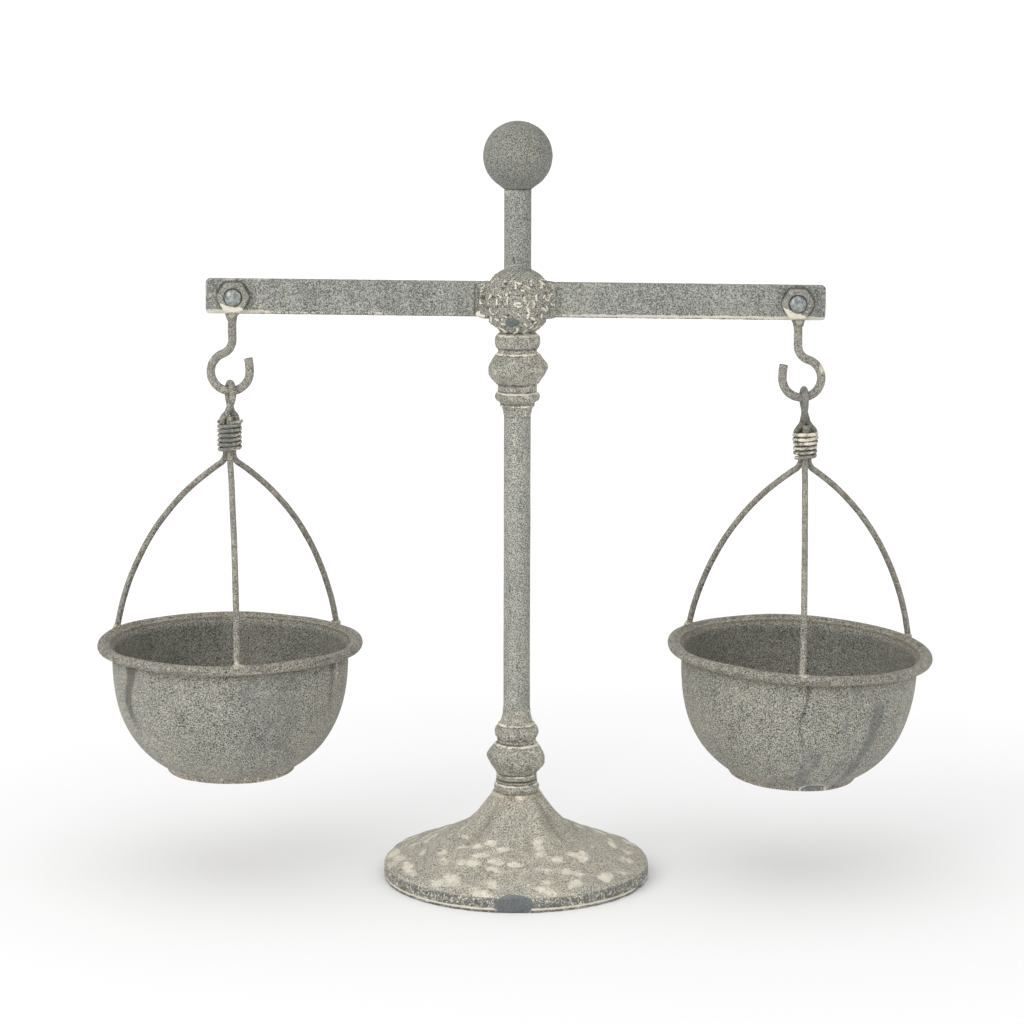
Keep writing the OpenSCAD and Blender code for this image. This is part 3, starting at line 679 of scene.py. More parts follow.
def ball(name, radius, centre, stretch=(1, 1, 1), detail=5):
    """A round ball or egg, used to shape other pieces."""
    work = bmesh.new()
    place = Matrix.Translation(centre) @ Matrix.Diagonal((*stretch, 1))
    bmesh.ops.create_icosphere(work, subdivisions=detail, radius=radius, matrix=place)
    return shaped(name, work)


def carve(piece, tools, operation="DIFFERENCE"):
    """Cuts tools out of a piece, or joins them to it, and removes them."""
    for tool in tools:
        modifier = piece.modifiers.new(tool.name, "BOOLEAN")
        modifier.operation = operation
        modifier.solver = "EXACT"
        modifier.object = tool
    apply_modifiers(piece)
    for tool in tools:
        bpy.data.objects.remove(tool)


def apply_modifiers(piece):
    evaluated = piece.evaluated_get(bpy.context.evaluated_depsgraph_get())
    mesh = bpy.data.meshes.new_from_object(evaluated)
    piece.modifiers.clear()
    piece.data = mesh


def remesh(piece, size, rounds):
    """Melts a piece into one even skin, as a casting leaves the mould."""
    modifier = piece.modifiers.new("skin", "REMESH")
    modifier.mode = "VOXEL"
    modifier.voxel_size = size
    modifier.use_smooth_shade = True
    smooth = piece.modifiers.new("soften", "SMOOTH")
    smooth.iterations = rounds
    apply_modifiers(piece)


head = ball("head_casting", head_r, (0, 0, head_z))
lips = []
cheek = slot_t / 2
for side_x in (-1, 1):
    for side_y in (-1, 1):
        for name, at_z, reach, thick in (("low", -8.2, 24.6, 3.1), ("high", 8.0, 23.6, 2.5)):
            centre = (side_x * 17.0 * mm, side_y * (cheek + 1.7 * mm), slot_mid + at_z * mm)
            stretch = ((reach - 17.0) / thick, 0.85, 0.95)
            lips.append(ball(f"lip_{name}", thick * mm, centre, stretch, 3))
        flange = [17.5 * side_x * mm, 22.2 * side_x * mm]
        depth = [side_y * (cheek - 0.5 * mm), side_y * (cheek + 1.8 * mm)]
        low = (min(flange), min(depth), slot_mid - 7.5 * mm)
        high = (max(flange), max(depth), slot_mid + 7.5 * mm)
        lips.append(block("flange", low, high))
carve(head, lips, "UNION")
reach_x = 40 * mm
slot_cut = block(
    "slot", (-reach_x, -slot_t / 2, slot_mid - slot_h / 2), (reach_x, slot_t / 2, slot_mid + slot_h / 2)
)
pin_seat_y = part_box("pivot_pin")[1].y - 3 * mm
pin_seat = peg("pin_seat", 5.1 * mm, (0, pin_seat_y, pivot[2]), (0, 30 * mm, pivot[2]))
carve(head, [slot_cut, pin_seat])
remesh(head, 0.42 * mm, 2)
head.data.materials.append(casting)
points = read(head)
centre = np.array([0, 0, head_z])
off = points - centre
reach = np.linalg.norm(off, axis=1)
away = off / reach[:, None]
in_slot = np.abs(points[:, 1]) < slot_t / 2 + 0.35 * mm
in_slot &= np.abs(points[:, 2] - slot_mid) < slot_h / 2 + 0.3 * mm
in_seat = (np.hypot(off[:, 0], points[:, 2] - pivot[2]) < 5.6 * mm) & (points[:, 1] > 10 * mm)
skin = ~in_slot & ~in_seat
worm = lumps(points, 3.1 * mm, 12) + 0.35 * lumps(points, 1.5 * mm, 4)
drill = np.random.default_rng(21)


def scattered(count, jitter):
    """Directions spread evenly over a ball, a little out of place."""
    for number in range(count):
        up = 1 - 2 * (number + 0.5) / count
        turn = number * golden_turn
        flat = math.sqrt(1 - up * up)
        aim = np.array([flat * math.cos(turn), flat * math.sin(turn), up]) + drill.normal(0, jitter, 3)
        yield aim / np.linalg.norm(aim)


ridge = np.zeros(len(points))
for aim in scattered(185, 0.09):
    near = np.flatnonzero(away @ aim > 0.9)
    heading = drill.uniform(0, math.pi)
    side = np.cross(aim, [0, 0, 1])
    side /= np.linalg.norm(side)
    along = side * math.cos(heading) + np.cross(aim, side) * math.sin(heading)
    u = (away[near] @ along) * head_r / mm
    v = (away[near] @ np.cross(aim, along)) * head_r / mm - drill.normal(0, 0.09) * u * u
    half = drill.uniform(0.8, 2.4)
    width = drill.uniform(0.8, 1.15)
    spread = np.hypot(np.maximum(np.abs(u) - half, 0), v) / width + 0.2 * worm[near]
    ridge[near] = np.maximum(ridge[near], step(spread, 1.3, 0.35) * drill.uniform(0.6, 1.0))
pit = np.zeros(len(points))
for aim in scattered(130, 0.07):
    size = drill.uniform(0.7, 1.2) * mm
    spot = np.arccos(np.clip(away @ aim, -1, 1)) * head_r / size
    pit = np.maximum(pit, step(spot, 1.25, 0.45) * drill.uniform(0.5, 1.0))
aim = np.array([-0.17, -0.83, -0.53])
smooth_patch = np.arccos(np.clip(away @ (aim / np.linalg.norm(aim)), -1, 1)) * head_r / mm
smooth_patch = step(smooth_patch / (4.2 + 1.2 * worm), 1.1, 0.8)
on_lip = step(reach / mm, head_r / mm + 0.6, head_r / mm + 2)
busy = (1 - smooth_patch) * (1 - 0.85 * on_lip) * step(away[:, 2], 0.92, 0.6)
relief = (0.8 * ridge - 1.15 * pit * (1 - 0.4 * ridge) - 0.15) * busy + 0.10 * worm
push(head, relief * mm * skin)
crest = step(ridge, 0.35, 0.7) * (1 - pit)
ridge_foot_shade = step(ridge, 0.02, 0.2) * step(ridge, 0.5, 0.25)
low_right = step(away[:, 2] - 0.3 * away[:, 0], 0.5, -0.3)
# Painted shade: the pits, the feet of the ridges, the slot and the pin's seat are darkened. The crests are
# cream, partly painted highlight.
mark(
    head,
    wash=((0.66 + 0.24 * low_right) * crest + 0.5 * on_lip * step(worm, -0.1, 0.3))
    * skin
    * np.maximum(busy, on_lip),
    bare=0.75 * smooth_patch + 0.25 * (1 - crest) * busy * step(worm, 0.1, 0.4),
    grime=1.2 * pit * busy + 0.9 * in_slot + 0.5 * in_seat + 0.8 * ridge_foot_shade * busy,
    veins=0.25 * busy,
)
fit(head, "stand", "washed_casting", "beam_head")


# ---------- Finial ball ----------
# Plain cast ball on top of the rod, with a short hollow neck. It has less wash than the rest, a lower
# half painted darker and bluer as shade, and one small round scar low on its front.

flare_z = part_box("finial_ball")[0].z + 3 * mm
flare_r = tube_r + 0.25 * mm
meet = math.radians(-58)
meet_r, meet_z = finial_r * math.cos(meet), finial_z + finial_r * math.sin(meet)
round_turns = np.linspace(math.pi / 2, meet, 78)
outline = [(finial_r * math.cos(a), finial_z + finial_r * math.sin(a)) for a in round_turns]
outline[0] = (0.0, finial_z + finial_r)
for share in np.linspace(0, 1, 9)[1:]:
    pull = (1 - share) ** 2
    outline.append((flare_r + (meet_r - flare_r) * pull, meet_z + (flare_z - meet_z) * (1 - pull) ** 0.9))
outline.append((0.0, flare_z))
dull_casting = washed_metal("dull_casting", (68, 71, 67), (160, 160, 152), (204, 199, 184), haze=-0.06)
finial = turned("finial_casting", outline, 230, dull_casting)
points = read(finial)
off = points - np.array([0, 0, finial_z])
away = off / np.linalg.norm(off, axis=1)[:, None]
soft = lumps(points, 6 * mm, 3)
small = lumps(points, 1.4 * mm, 8)
scar_aim = np.array([0.19, -0.88, -0.43])
scar = np.arccos(np.clip(away @ (scar_aim / np.linalg.norm(scar_aim)), -1, 1)) * finial_r / mm
scar_ring = step(np.abs(scar - 2.1), 0.75, 0.2)
worn = step(away[:, 2] + 0.25 * soft + 0.25 * away[:, 0], 0.05, -0.5)
push(finial, (0.10 * soft + 0.05 * small + 0.18 * scar_ring - 0.1 * step(scar, 1.8, 1.2)) * mm)
# worn marks the lower half, which is painted darker and bluer as shade; the foot of the neck is painted
# dark as shade too.
mark(
    finial,
    wash=0.36 * scar_ring + 0.25 * step(small, 0.45, 0.8),
    bare=0.30 * worn,
    grime=0.30 * worn + 0.7 * step(points[:, 2], flare_z + 1.2 * mm, flare_z),
    veins=0.22 * step(small, -0.2, 0.4),
)
fit(finial, "stand", "washed_casting", "finial_ball")


# ---------- Beam ----------
# One flat steel bar with rounded corners, drilled for the pivot pin and the two end bolts. The wash is
# worn to a cream line along its lower edge, more so on the right. Dark lines beside the head's flanges
# are painted shadows, the dark ring round each nut is painted shadow and dirt, the bottom edge is
# painted darker as shade, and the right half is a little darker and the left half a little lighter,
# painted shade and light across the bar.

bolt_at = {}
for side in ("left", "right"):
    low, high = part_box("nut_" + side)
    bolt_at[side] = ((low.x + high.x) / 2, (low.z + high.z) / 2)
run_x = bolt_at["right"][0] - bolt_at["left"][0]
run_z = bolt_at["right"][1] - bolt_at["left"][1]
tilt = math.atan2(-run_z, run_x)
slid = -1.1 * mm
beam_mid = Vector((slid, 0, (bolt_at["right"][1] + bolt_at["left"][1]) / 2))
beam_h = 20.5 * mm
beam_len = (beam_high.x - beam_low.x - beam_h * math.sin(tilt)) / math.cos(tilt)
beam_round = 2.6 * mm
on_beam = Matrix.Translation(beam_mid) @ Matrix.Rotation(tilt, 4, "Y")


def rounded(points, core):
    """Turns the square corners that stick out past a core box into round ones."""
    held = np.clip(points, -core, core)
    over = points - held
    far = np.linalg.norm(over, axis=1)
    square = np.max(np.abs(over), axis=1)
    return held + over * np.where(far > 0, square / np.maximum(far, 1e-12), 0)[:, None]


def bar_grid(length, height, thick, corner, edge, cell):
    """A flat bar as a closed grid of square cells, its corners rounded flat-wise and its edges softened."""
    work = bmesh.new()
    counts = [max(2, round(s / cell)) for s in (length, thick, height)]
    sizes = (length, thick, height)
    corners = {}

    def corner_point(i, j, k):
        key = (i, j, k)
        if key not in corners:
            corners[key] = work.verts.new([(n / c - 0.5) * s for n, c, s in zip(key, counts, sizes)])
        return corners[key]

    for axis in range(3):
        first, second = [a for a in range(3) if a != axis]
        for end in (0, counts[axis]):
            for a in range(counts[first]):
                for b in range(counts[second]):
                    face = []
                    for da, db in ((0, 0), (1, 0), (1, 1), (0, 1)):
                        key = [0, 0, 0]
                        key[axis], key[first], key[second] = end, a + da, b + db
                        face.append(corner_point(*key))
                    work.faces.new(face)
    bmesh.ops.recalc_face_normals(work, faces=work.faces)
    bar = shaped("bar", work)
    for polygon in bar.data.polygons:
        polygon.use_smooth = True
    points = read(bar)
    inner = np.array([length / 2 - corner, height / 2 - corner])
    points[:, [0, 2]] = rounded(points[:, [0, 2]], inner)
    core = np.array([length / 2 - edge, thick / 2 - edge, height / 2 - edge])
    write(bar, rounded(points, core))
    return bar


beam = bar_grid(beam_len, beam_h, beam_t, beam_round, 0.55 * mm, 0.92 * mm)
beam.name = "beam_flat_bar"
beam.data.materials.append(bar_paint)
half_span = math.hypot(run_x, run_z) / 2
bolt_hole = 5.1 * mm
pin_hole = 3.05 * mm
pin_z = pivot[2] - slot_mid
holes = []
for at_x, at_z, hole_r in ((-half_span, 0, bolt_hole), (half_span, 0, bolt_hole), (-slid, pin_z, pin_hole)):
    holes.append(peg("hole", hole_r, (at_x, -beam_t, at_z), (at_x, beam_t, at_z)))
carve(beam, holes)
points = read(beam)
wave = lumps(points, 9 * mm, 2)
small = lumps(points, 1.8 * mm, 6)
edge_nibble = step(np.abs(points[:, 2]), beam_h / 2 - 1.2 * mm, beam_h / 2) * step(small, 0.1, 0.7)
holes_near = np.hypot(np.abs(points[:, 0]) - half_span, points[:, 2]) < 6.2 * mm
holes_near |= np.hypot(points[:, 0] + slid, points[:, 2] - pin_z) < 4 * mm
push(beam, (0.07 * wave + 0.035 * small - 0.22 * edge_nibble) * mm * ~holes_near)
x, z = points[:, 0] / mm, points[:, 2] / mm
lower_edge = step(np.abs(z + beam_h / mm / 2 - 1.3 - 0.5 * wave), 1.5, 0.5) * (points[:, 1] < 0)
fade = 0.42 + 0.5 * step(x, 5, 60) + 0.45 * step(np.abs(x), 150, 165)
upper_edge = step(z, beam_h / mm / 2 - 1.4, beam_h / mm / 2 - 0.3)
end_box = step(x, -140, -150) * (points[:, 1] < 0)
near_head = step(np.abs(x), 34, 20)
flange_shadow = step(np.abs(np.abs(x + 1.1) - 22.9), 1.1, 0.3) * (np.abs(z) < 8.5)
dirt_and_shadow_round_nut = step(np.abs(np.hypot(np.abs(x) - half_span / mm, z) - 9.2), 1.6, 0.3) * (points[:, 1] < 0)
# Painted shadow beside the head's flanges, painted shadow and dirt round each nut, painted shade on the
# bottom edge, and the right half painted darker and the left half lighter as light and shade.
mark(
    beam,
    wash=lower_edge * fade
    + 0.30 * upper_edge * step(wave, -0.2, 0.5)
    + 0.24 * end_box
    + 0.14 * step(x, 0, -110),
    bare=0.14 * step(x, 0, 80) + 0.25 * (points[:, 1] > 0),
    grime=0.55 * step(z, -beam_h / mm / 2 + 0.55, -beam_h / mm / 2)
    + 0.25 * near_head
    + 0.3 * upper_edge * (x > 0)
    + 0.9 * flange_shadow
    + 0.85 * dirt_and_shadow_round_nut,
    veins=0.26 + 0.2 * near_head,
)
beam.data.transform(on_beam)
fit(beam, "beam", "washed_bar", "beam_bar")


# ---------- End bolts and nuts ----------
# M10 bolts put in from behind through the hooks' eyes, and their nuts in front of the bar. Both are zinc
# plated and turned down at the corners; the wash has run to the lower edge of each nut. The nuts' sides,
# their feet against the bar and the gap round each bolt are painted dark as shade.

nut_flats = 17 * mm
nut_h = 8 * mm
bolt_r = 5 * mm
bolt_out = 2.6 * mm
bolt_head_h = 6.4 * mm
nut_paint = washed_metal(
    "washed_nut", (85, 86, 81), (172, 171, 161), (230, 223, 206), contrast=0.7, haze=-0.04
)
nut_off = {"left": -0.6 * mm, "right": -1.9 * mm}


def worn_zinc(name, dark, light, streaked):
    """Zinc plate worn smooth, slightly blue, with fine scratches round the axis and dull spots."""
    material, start = blank_material(name)
    place = start.node("ShaderNodeTexCoord", output="Object")

    def cloud(size, detail, where=place):
        values = {"Vector": where, "Scale": 1 / size, "Detail": detail}
        return start.node("ShaderNodeTexNoise", inputs=values)

    mottle = cloud(2.2 * mm, 4.0)
    speck = cloud(0.5 * mm, 2.0)
    drawn = start.node("ShaderNodeMapping", inputs={"Vector": place, "Scale": streaked})
    lines = cloud(0.4 * mm, 2.0, drawn)
    tone = (0.5 + (mottle - 0.5) * 2.2 + (lines - 0.5) * 0.9 + (speck - 0.5) * 0.8).between(0.0, 1.0)
    dull = (mottle + (speck - 0.5) * 0.5).between(0.5, 0.7)
    height = lines * 0.4 + mottle * 0.6 + speck * 0.3
    bump = start.node("ShaderNodeBump", inputs={"Strength": 0.35, "Distance": 0.08 * mm, "Height": height})
    surface = {"Base Color": tone.mix(grey(*dark), grey(*light)), "Normal": bump}
    surface["Roughness"] = 0.3 + dull * 0.25 + (lines - 0.5) * 0.2
    surface["Metallic"] = 0.75 - dull * 0.3
    close_material(start, surface)
    return material


bolt_zinc = worn_zinc("worn_bolt", (106, 111, 111), (172, 177, 174), (1.0, 0.2, 1.0))


def hexagon_clip(points, flats, soft):
    """Pulls points that lie outside a hexagon back onto its flats, with softened corners."""
    radius, angle = polar(points)
    sector = np.mod(angle, math.pi / 3) - math.pi / 6
    limit = flats / 2 / np.cos(sector)
    limit -= soft * step(np.abs(sector), 0.42, 0.5236) * (limit - flats / 2)
    keep = np.minimum(radius, limit)
    share = keep / np.maximum(radius, 1e-9)
    points[:, 0] *= share
    points[:, 1] *= share
    return points


def hexagon_outline(flats, height, bore, face_round):
    """Outline of a turned blank for a nut or a bolt head, chamfered towards its outer face."""
    far = flats / 2 / math.cos(math.pi / 6)
    shape = [(r, 0.0) for r in np.arange(bore, far, 0.5 * mm)]
    shape += [(far, z) for z in np.arange(0, height - 1.4 * mm, 0.5 * mm)]
    edge = flats / 2 - 0.5 * mm
    for share in np.linspace(0, 1, 10):
        shape.append((far + (edge - far) * share, height - 1.4 * mm * (1 - share) ** 1.3))
    shape += [(r, height) for r in np.arange(edge - 0.4 * mm, bore + face_round, -0.5 * mm)]
    if bore > 0:
        shape += [(bore + face_round, height), (bore, height - face_round)]
        shape += [(bore, z) for z in np.arange(height - 1.2 * mm, 0.4 * mm, -0.8 * mm)]
    return shape


for side, (at_x, at_z) in bolt_at.items():
    at_x += nut_off[side]
    front = Matrix.Translation((at_x, -beam_t / 2, at_z)) @ Matrix.Rotation(math.pi / 2, 4, "X")
    outline = hexagon_outline(nut_flats, nut_h, bolt_r + 0.05 * mm, 0.6 * mm)
    nut = turned(f"nut_{side}_turned", outline, 180, nut_paint)
    points = hexagon_clip(read(nut), nut_flats, 0.35)
    write(nut, points)
    soft = lumps(points, 2.6 * mm, 5 if side == "left" else 2)
    outside = np.hypot(points[:, 0], points[:, 1]) > bolt_r + 0.3 * mm
    push(nut, 0.07 * soft * mm * outside)
    low_part = points[:, 1] + (0.6 if side == "left" else 1.2) * points[:, 0] * 0.35 + 0.5 * soft * mm
    face = step(points[:, 2], nut_h - 1.6 * mm, nut_h - 0.6 * mm)
    bolt_gap_shade = step(np.hypot(points[:, 0], points[:, 1]), bolt_r + 1.0 * mm, bolt_r + 0.2 * mm)
    # Painted shade: the nut's sides, its foot against the bar and the gap round the bolt are darkened.
    mark(
        nut,
        wash=face * step(low_part, -4.6 * mm, -6.0 * mm) * (1 if side == "left" else 0.72) + 0.2 * face,
        bare=0.15 * (1 - face),
        grime=0.9 * bolt_gap_shade + 0.75 * (1 - face) + 0.4 * step(points[:, 2], 1.6 * mm, 0),
        veins=0.1 * face,
    )
    nut.data.transform(front)
    fit(nut, "beam", "washed_nut", "nut_" + side)

    shaft_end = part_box("bolt_" + side)[0].y
    head_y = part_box("bolt_" + side)[1].y - bolt_head_h
    length = head_y - shaft_end
    dome_turns = np.linspace(0, math.pi / 2, 14)
    dome = [(bolt_r * math.sin(a), length - bolt_out * (1 - math.cos(a)) * 0.95) for a in dome_turns]
    shaft = [(bolt_r, z) for z in np.arange(length - bolt_out - 0.8 * mm, 0.3 * mm, -1 * mm)]
    outline = dome + shaft + [(bolt_r, -0.2 * mm), (0.0, -0.2 * mm)]
    outline[0] = (0.0, length)
    shank = turned("shank", outline, 96, bolt_zinc)
    at_head = Matrix.Translation((at_x, head_y, at_z))
    shank.data.transform(at_head @ Matrix.Rotation(math.pi / 2, 4, "X"))
    bolt = turned(f"bolt_{side}_turned", hexagon_outline(nut_flats, bolt_head_h, 0.0, 0.0), 180, bolt_zinc)
    write(bolt, hexagon_clip(read(bolt), nut_flats, 0.3))
    bolt.data.transform(at_head @ Matrix.Rotation(-math.pi / 2, 4, "X"))
    work = bmesh.new()
    work.from_mesh(bolt.data)
    work.from_mesh(shank.data)
    work.to_mesh(bolt.data)
    work.free()
    bpy.data.objects.remove(shank)
    fit(bolt, "beam", "worn_bolt", "bolt_" + side)


# ---------- Hooks ----------
# 5 mm wire, bent round the bolt into an eye, down into a swan neck and up again as an open hook. The end
# of the eye is closed against the shank with a blob of wash. The hook's cut end is left square.

wire_sizes = {"Wire": "Float", "Spacing": "Float", "Wobble": "Float", "Roughness": "Float", "Sides": "Int"}
wire_tree, given = geometry_tree("bent_wire", wire_sizes)
line = given["Geometry"]
path = line.node(
    "GeometryNodeResampleCurve", {"mode": "LENGTH"}, {"Curve": line, "Length": given["Spacing"]}
)


def stir(start, size, amount, seed):
    """A small offset in every direction from soft noise."""
    place = start.node("GeometryNodeInputPosition")
    apart = (seed, seed * 2, seed * 3)
    shifted = start.node("ShaderNodeVectorMath", {"operation": "ADD"}, {0: place, 1: apart})
    values = {"Vector": shifted, "Scale": 1 / size, "Detail": 1.0}
    colour = start.node("ShaderNodeTexNoise", inputs=values, output=1)
    centred = start.node("ShaderNodeVectorMath", {"operation": "SUBTRACT"}, {0: colour, 1: (0.5, 0.5, 0.5)})
    return start.node("ShaderNodeVectorMath", {"operation": "SCALE"}, {0: centred, "Scale": amount})


bends = stir(path, 26 * mm, given["Wobble"], 0.3)
path = path.node("GeometryNodeSetPosition", inputs={"Geometry": path, "Offset": bends})
section = path.node(
    "GeometryNodeCurvePrimitiveCircle", inputs={"Resolution": given["Sides"], "Radius": given["Wire"] * 0.5}
)
skin_mesh = path.node(
    "GeometryNodeCurveToMesh", inputs={"Curve": path, "Profile Curve": section, "Fill Caps": True}
)
skin_mesh = path.node(
    "GeometryNodeSetPosition",
    inputs={"Geometry": skin_mesh, "Offset": stir(path, 1.6 * mm, given["Roughness"], 0.7)},
)
close_tree(wire_tree, skin_mesh, given["Finish"])


def wire(name, points, thick, finish, wobble=0.5 * mm, spacing=0.8 * mm, sides=22):
    """Round wire along a path of points, a little uneven as bent wire is."""
    sizes = {"Wire": thick, "Spacing": spacing, "Wobble": wobble, "Roughness": thick * 0.06, "Sides": sides}
    piece = grow(name, line_object(name, points), wire_tree, {**sizes, "Finish": finish})
    outward(piece)
    return piece


def arc(centre, radius, start, end, steps=14):
    """Points (across, up) along an arc, angles in degrees."""
    turns = np.radians(np.linspace(start, end, steps))
    return [(centre[0] + radius * math.cos(t), centre[1] + radius * math.sin(t)) for t in turns]


def eased(points, steps=5):
    """A smooth path through points, evenly divided between each two."""
    given_points = np.array(points, float)
    ends = [2 * given_points[0] - given_points[1], 2 * given_points[-1] - given_points[-2]]
    padded = np.vstack([ends[0], given_points, ends[1]])
    made = []
    for a, b, c, d in zip(padded, padded[1:], padded[2:], padded[3:]):
        square = 2 * a - 5 * b + 4 * c - d
        cube = 3 * b - a - 3 * c + d
        for t in np.arange(steps) / steps:
            made.append(0.5 * (2 * b + (c - a) * t + square * t**2 + cube * t**3))
    made.append(given_points[-1])
    return made


def join(name, pieces):
    """Several closed shapes as one piece."""
    work = bmesh.new()
    for one in pieces:
        work.from_mesh(one.data)
    mesh = pieces[0].data.copy()
    work.to_mesh(mesh)
    work.free()
    for one in pieces:
        bpy.data.objects.remove(one)
    mesh.name = name
    return placed(name, mesh)


wire_paint = washed_metal("washed_wire", (69, 68, 61), (182, 179, 168), (220, 212, 194), contrast=1.1)
hook_wire = 5.1 * mm
hook_r = 11.5
bend_r = 9.0
tip_rise = 8.0
eye_round = 7.35
shank_out = {"left": 2.7, "right": 0.1}
round_in = {"left": 0.0, "right": 1.5}
for side, sign in (("left", -1), ("right", 1)):
    low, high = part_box("hook_" + side)
    at_x, at_z = bolt_at[side]
    plane = (low.y + high.y) / 2
    outer_x = max(sign * (high.x - at_x), sign * (low.x - at_x)) / mm
    round_out = outer_x - hook_r - hook_wire / mm / 2 - round_in[side]
    round_drop = (at_z - low.z - hook_wire / 2) / mm - hook_r
    shank = -shank_out[side]
    bend_turn = math.degrees(math.acos((bend_r - round_out - shank) / (bend_r + hook_r)))
    bend_z = -round_drop + (bend_r + hook_r) * math.sin(math.radians(bend_turn))
    # across is towards the column and up is up, both in millimetres from the bolt
    eye_ring = arc((0, 0), eye_round, 236, -56, 26)
    end_path = eased([(shank - 0.5, -14.4), (shank - 1.5, -10.6), eye_ring[0]])[:-1]
    shank_turns = [(shank + 1.6, -10.6), (shank + 0.3, -14.6), (shank, -18.5), (shank, bend_z)]
    shank_path = eased([eye_ring[-1], *shank_turns])
    neck_path = arc((shank - bend_r, bend_z), bend_r, 0, -bend_turn)[1:]
    round_path = arc((-round_out, -round_drop), hook_r, 180 - bend_turn, 360, 30)[1:]
    tip_rises = np.linspace(0.8, tip_rise, 8)
    tip_path = [(hook_r - round_out - 0.012 * t * t, -round_drop + t) for t in tip_rises]
    flat_path = end_path + eye_ring + shank_path[1:] + neck_path + round_path + tip_path
    across = [(at_x - sign * a * mm, plane, at_z + b * mm) for a, b in flat_path]
    hook = wire(f"hook_{side}_wire", across, hook_wire, wire_paint, wobble=0.3 * mm)
    blob_at = (at_x - sign * shank * mm, plane - 1.0 * mm, at_z - 11.6 * mm)
    hook = join(f"hook_{side}_bent", [hook, ball("blob", 1.9 * mm, blob_at, (0.8, 0.75, 1.2), 3)])
    points = read(hook)
    level = (points[:, 2] - at_z) / mm
    near_blob = step(np.hypot(points[:, 0] - blob_at[0], points[:, 2] - blob_at[2]) / mm, 2.6, 1.4)
    outwards = (points[:, 0] - at_x) * sign / mm - round_out
    smear = step(outwards, 8, 11.5) * step(level, -46, -40) * step(level, -33, -36)
    smear *= 0.9 if side == "right" else 0.35
    saw = step(level + round_drop, tip_rise - 0.4, tip_rise) * step(-outwards, 5, 7)
    # From 8.5 mm below the bolt upwards, behind the bar, the wire is painted darker as shade; the patchy
    # dark is dirt.
    mark(
        hook,
        wash=0.85 * near_blob * (points[:, 1] < plane)
        + smear
        + 0.2 * step(lumps(points, 5 * mm), 0.1, 0.6),
        bare=0.7 * saw,
        grime=0.35 * step(lumps(points, 3 * mm, 4), 0.25, 0.7) + 0.5 * step(level, -10.2, -8.5),
        veins=0.35,
    )
    fit(hook, "hook_" + side, "washed_wire", "hook_" + side)


# ---------- Hanger eyes ----------
# Each bowl hangs from an eye of 4 mm wire. The eye is bent round the hook, and its two legs cross under
# it and then spread into the top of the binding.

stay_wire = 3.9 * mm
eye_bend = 5.8
bind_off = {"left": -0.9 * mm, "right": 1.25 * mm}
for side in ("left", "right"):
    eye_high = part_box("eye_" + side)[1]
    bind_low, bind_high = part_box("binding_" + side)
    axis_x = (bind_low.x + bind_high.x) / 2
    axis_y = (bind_low.y + bind_high.y) / 2
    eye_z = eye_high.z - stay_wire / 2 - eye_bend * mm
    fall = (eye_z - bind_high.z) / mm
    start_turn = math.radians(110 if side == "left" else 94)
    end_turn = math.radians(20 if side == "left" else 8)
    splay = 4.3 if side == "left" else 5.2
    # each leg: reach from the axis, height from the eye's middle and share of the twist
    leg = [(eye_bend, -1.0, 0.0), (5.3, -4.6, 0.05), (3.4, -fall * 0.53, 0.2), (2.0, -fall * 0.72, 0.6)]
    leg += [(3.6, -fall + 2.0, 0.9), (splay, -fall - 0.2, 1.0), (splay, -fall - 2.4, 1.0)]
    leg = eased(leg)
    top = [(a, b, 0.0) for a, b in arc((0, 0), eye_bend, 172, 8, 18)]
    eye_points = []
    for a, b, twist in [(-a, b, t) for a, b, t in reversed(leg)] + top + leg:
        turn = start_turn + (end_turn - start_turn) * twist
        at_x = axis_x + bind_off[side] * min(max(-b / fall, 0), 1) + a * mm * math.cos(turn)
        eye_points.append((at_x, axis_y + a * mm * math.sin(turn), eye_z + b * mm))
    eye = wire(f"eye_{side}_wire", eye_points, stay_wire, wire_paint, wobble=0.2 * mm, spacing=0.6 * mm)
    points = read(eye)
    outer = (points[:, 2] - eye_z) / mm
    bright = step(lumps(points, 3.5 * mm, 6), 0.0, 0.5)
    mark(
        eye,
        wash=0.30 * bright * (1.0 if side == "left" else 0.4),
        bare=0.30 if side == "left" else 0.45,
        grime=0.3 * step(outer, -6, -11) + (0.1 if side == "left" else 0.35),
        veins=0.2,
    )
    fit(eye, "pan_" + side, "washed_wire", "eye_" + side)


# ---------- Bindings ----------
# A length of thinner wire wound tightly round the eye's legs and the tops of the stays. The crowns of
# the turns are rubbed to cream and the grooves between them are painted dark as shade.

coil_names = ("Turns", "Rise", "Low radius", "High radius", "Wire")
coil_tree, given = geometry_tree("wound_wire", {name: "Float" for name in coil_names})
coil = given["Turns"].node(
    "GeometryNodeCurveSpiral",
    inputs={
        "Resolution": 40,
        "Rotations": given["Turns"],
        "Start Radius": given["Low radius"],
        "End Radius": given["High radius"],
        "Height": given["Turns"] * given["Rise"],
        "Reverse": True,
    },
)
uneven = stir(coil, 3.4 * mm, 0.85 * mm, 0.9)
coil = coil.node("GeometryNodeSetPosition", inputs={"Geometry": coil, "Offset": uneven})
values = {"Resolution": 14, "Radius": given["Wire"] * 0.5}
section = coil.node("GeometryNodeCurvePrimitiveCircle", inputs=values)
values = {"Curve": coil, "Profile Curve": section, "Fill Caps": True}
wound = coil.node("GeometryNodeCurveToMesh", inputs=values)
close_tree(coil_tree, wound, given["Finish"])

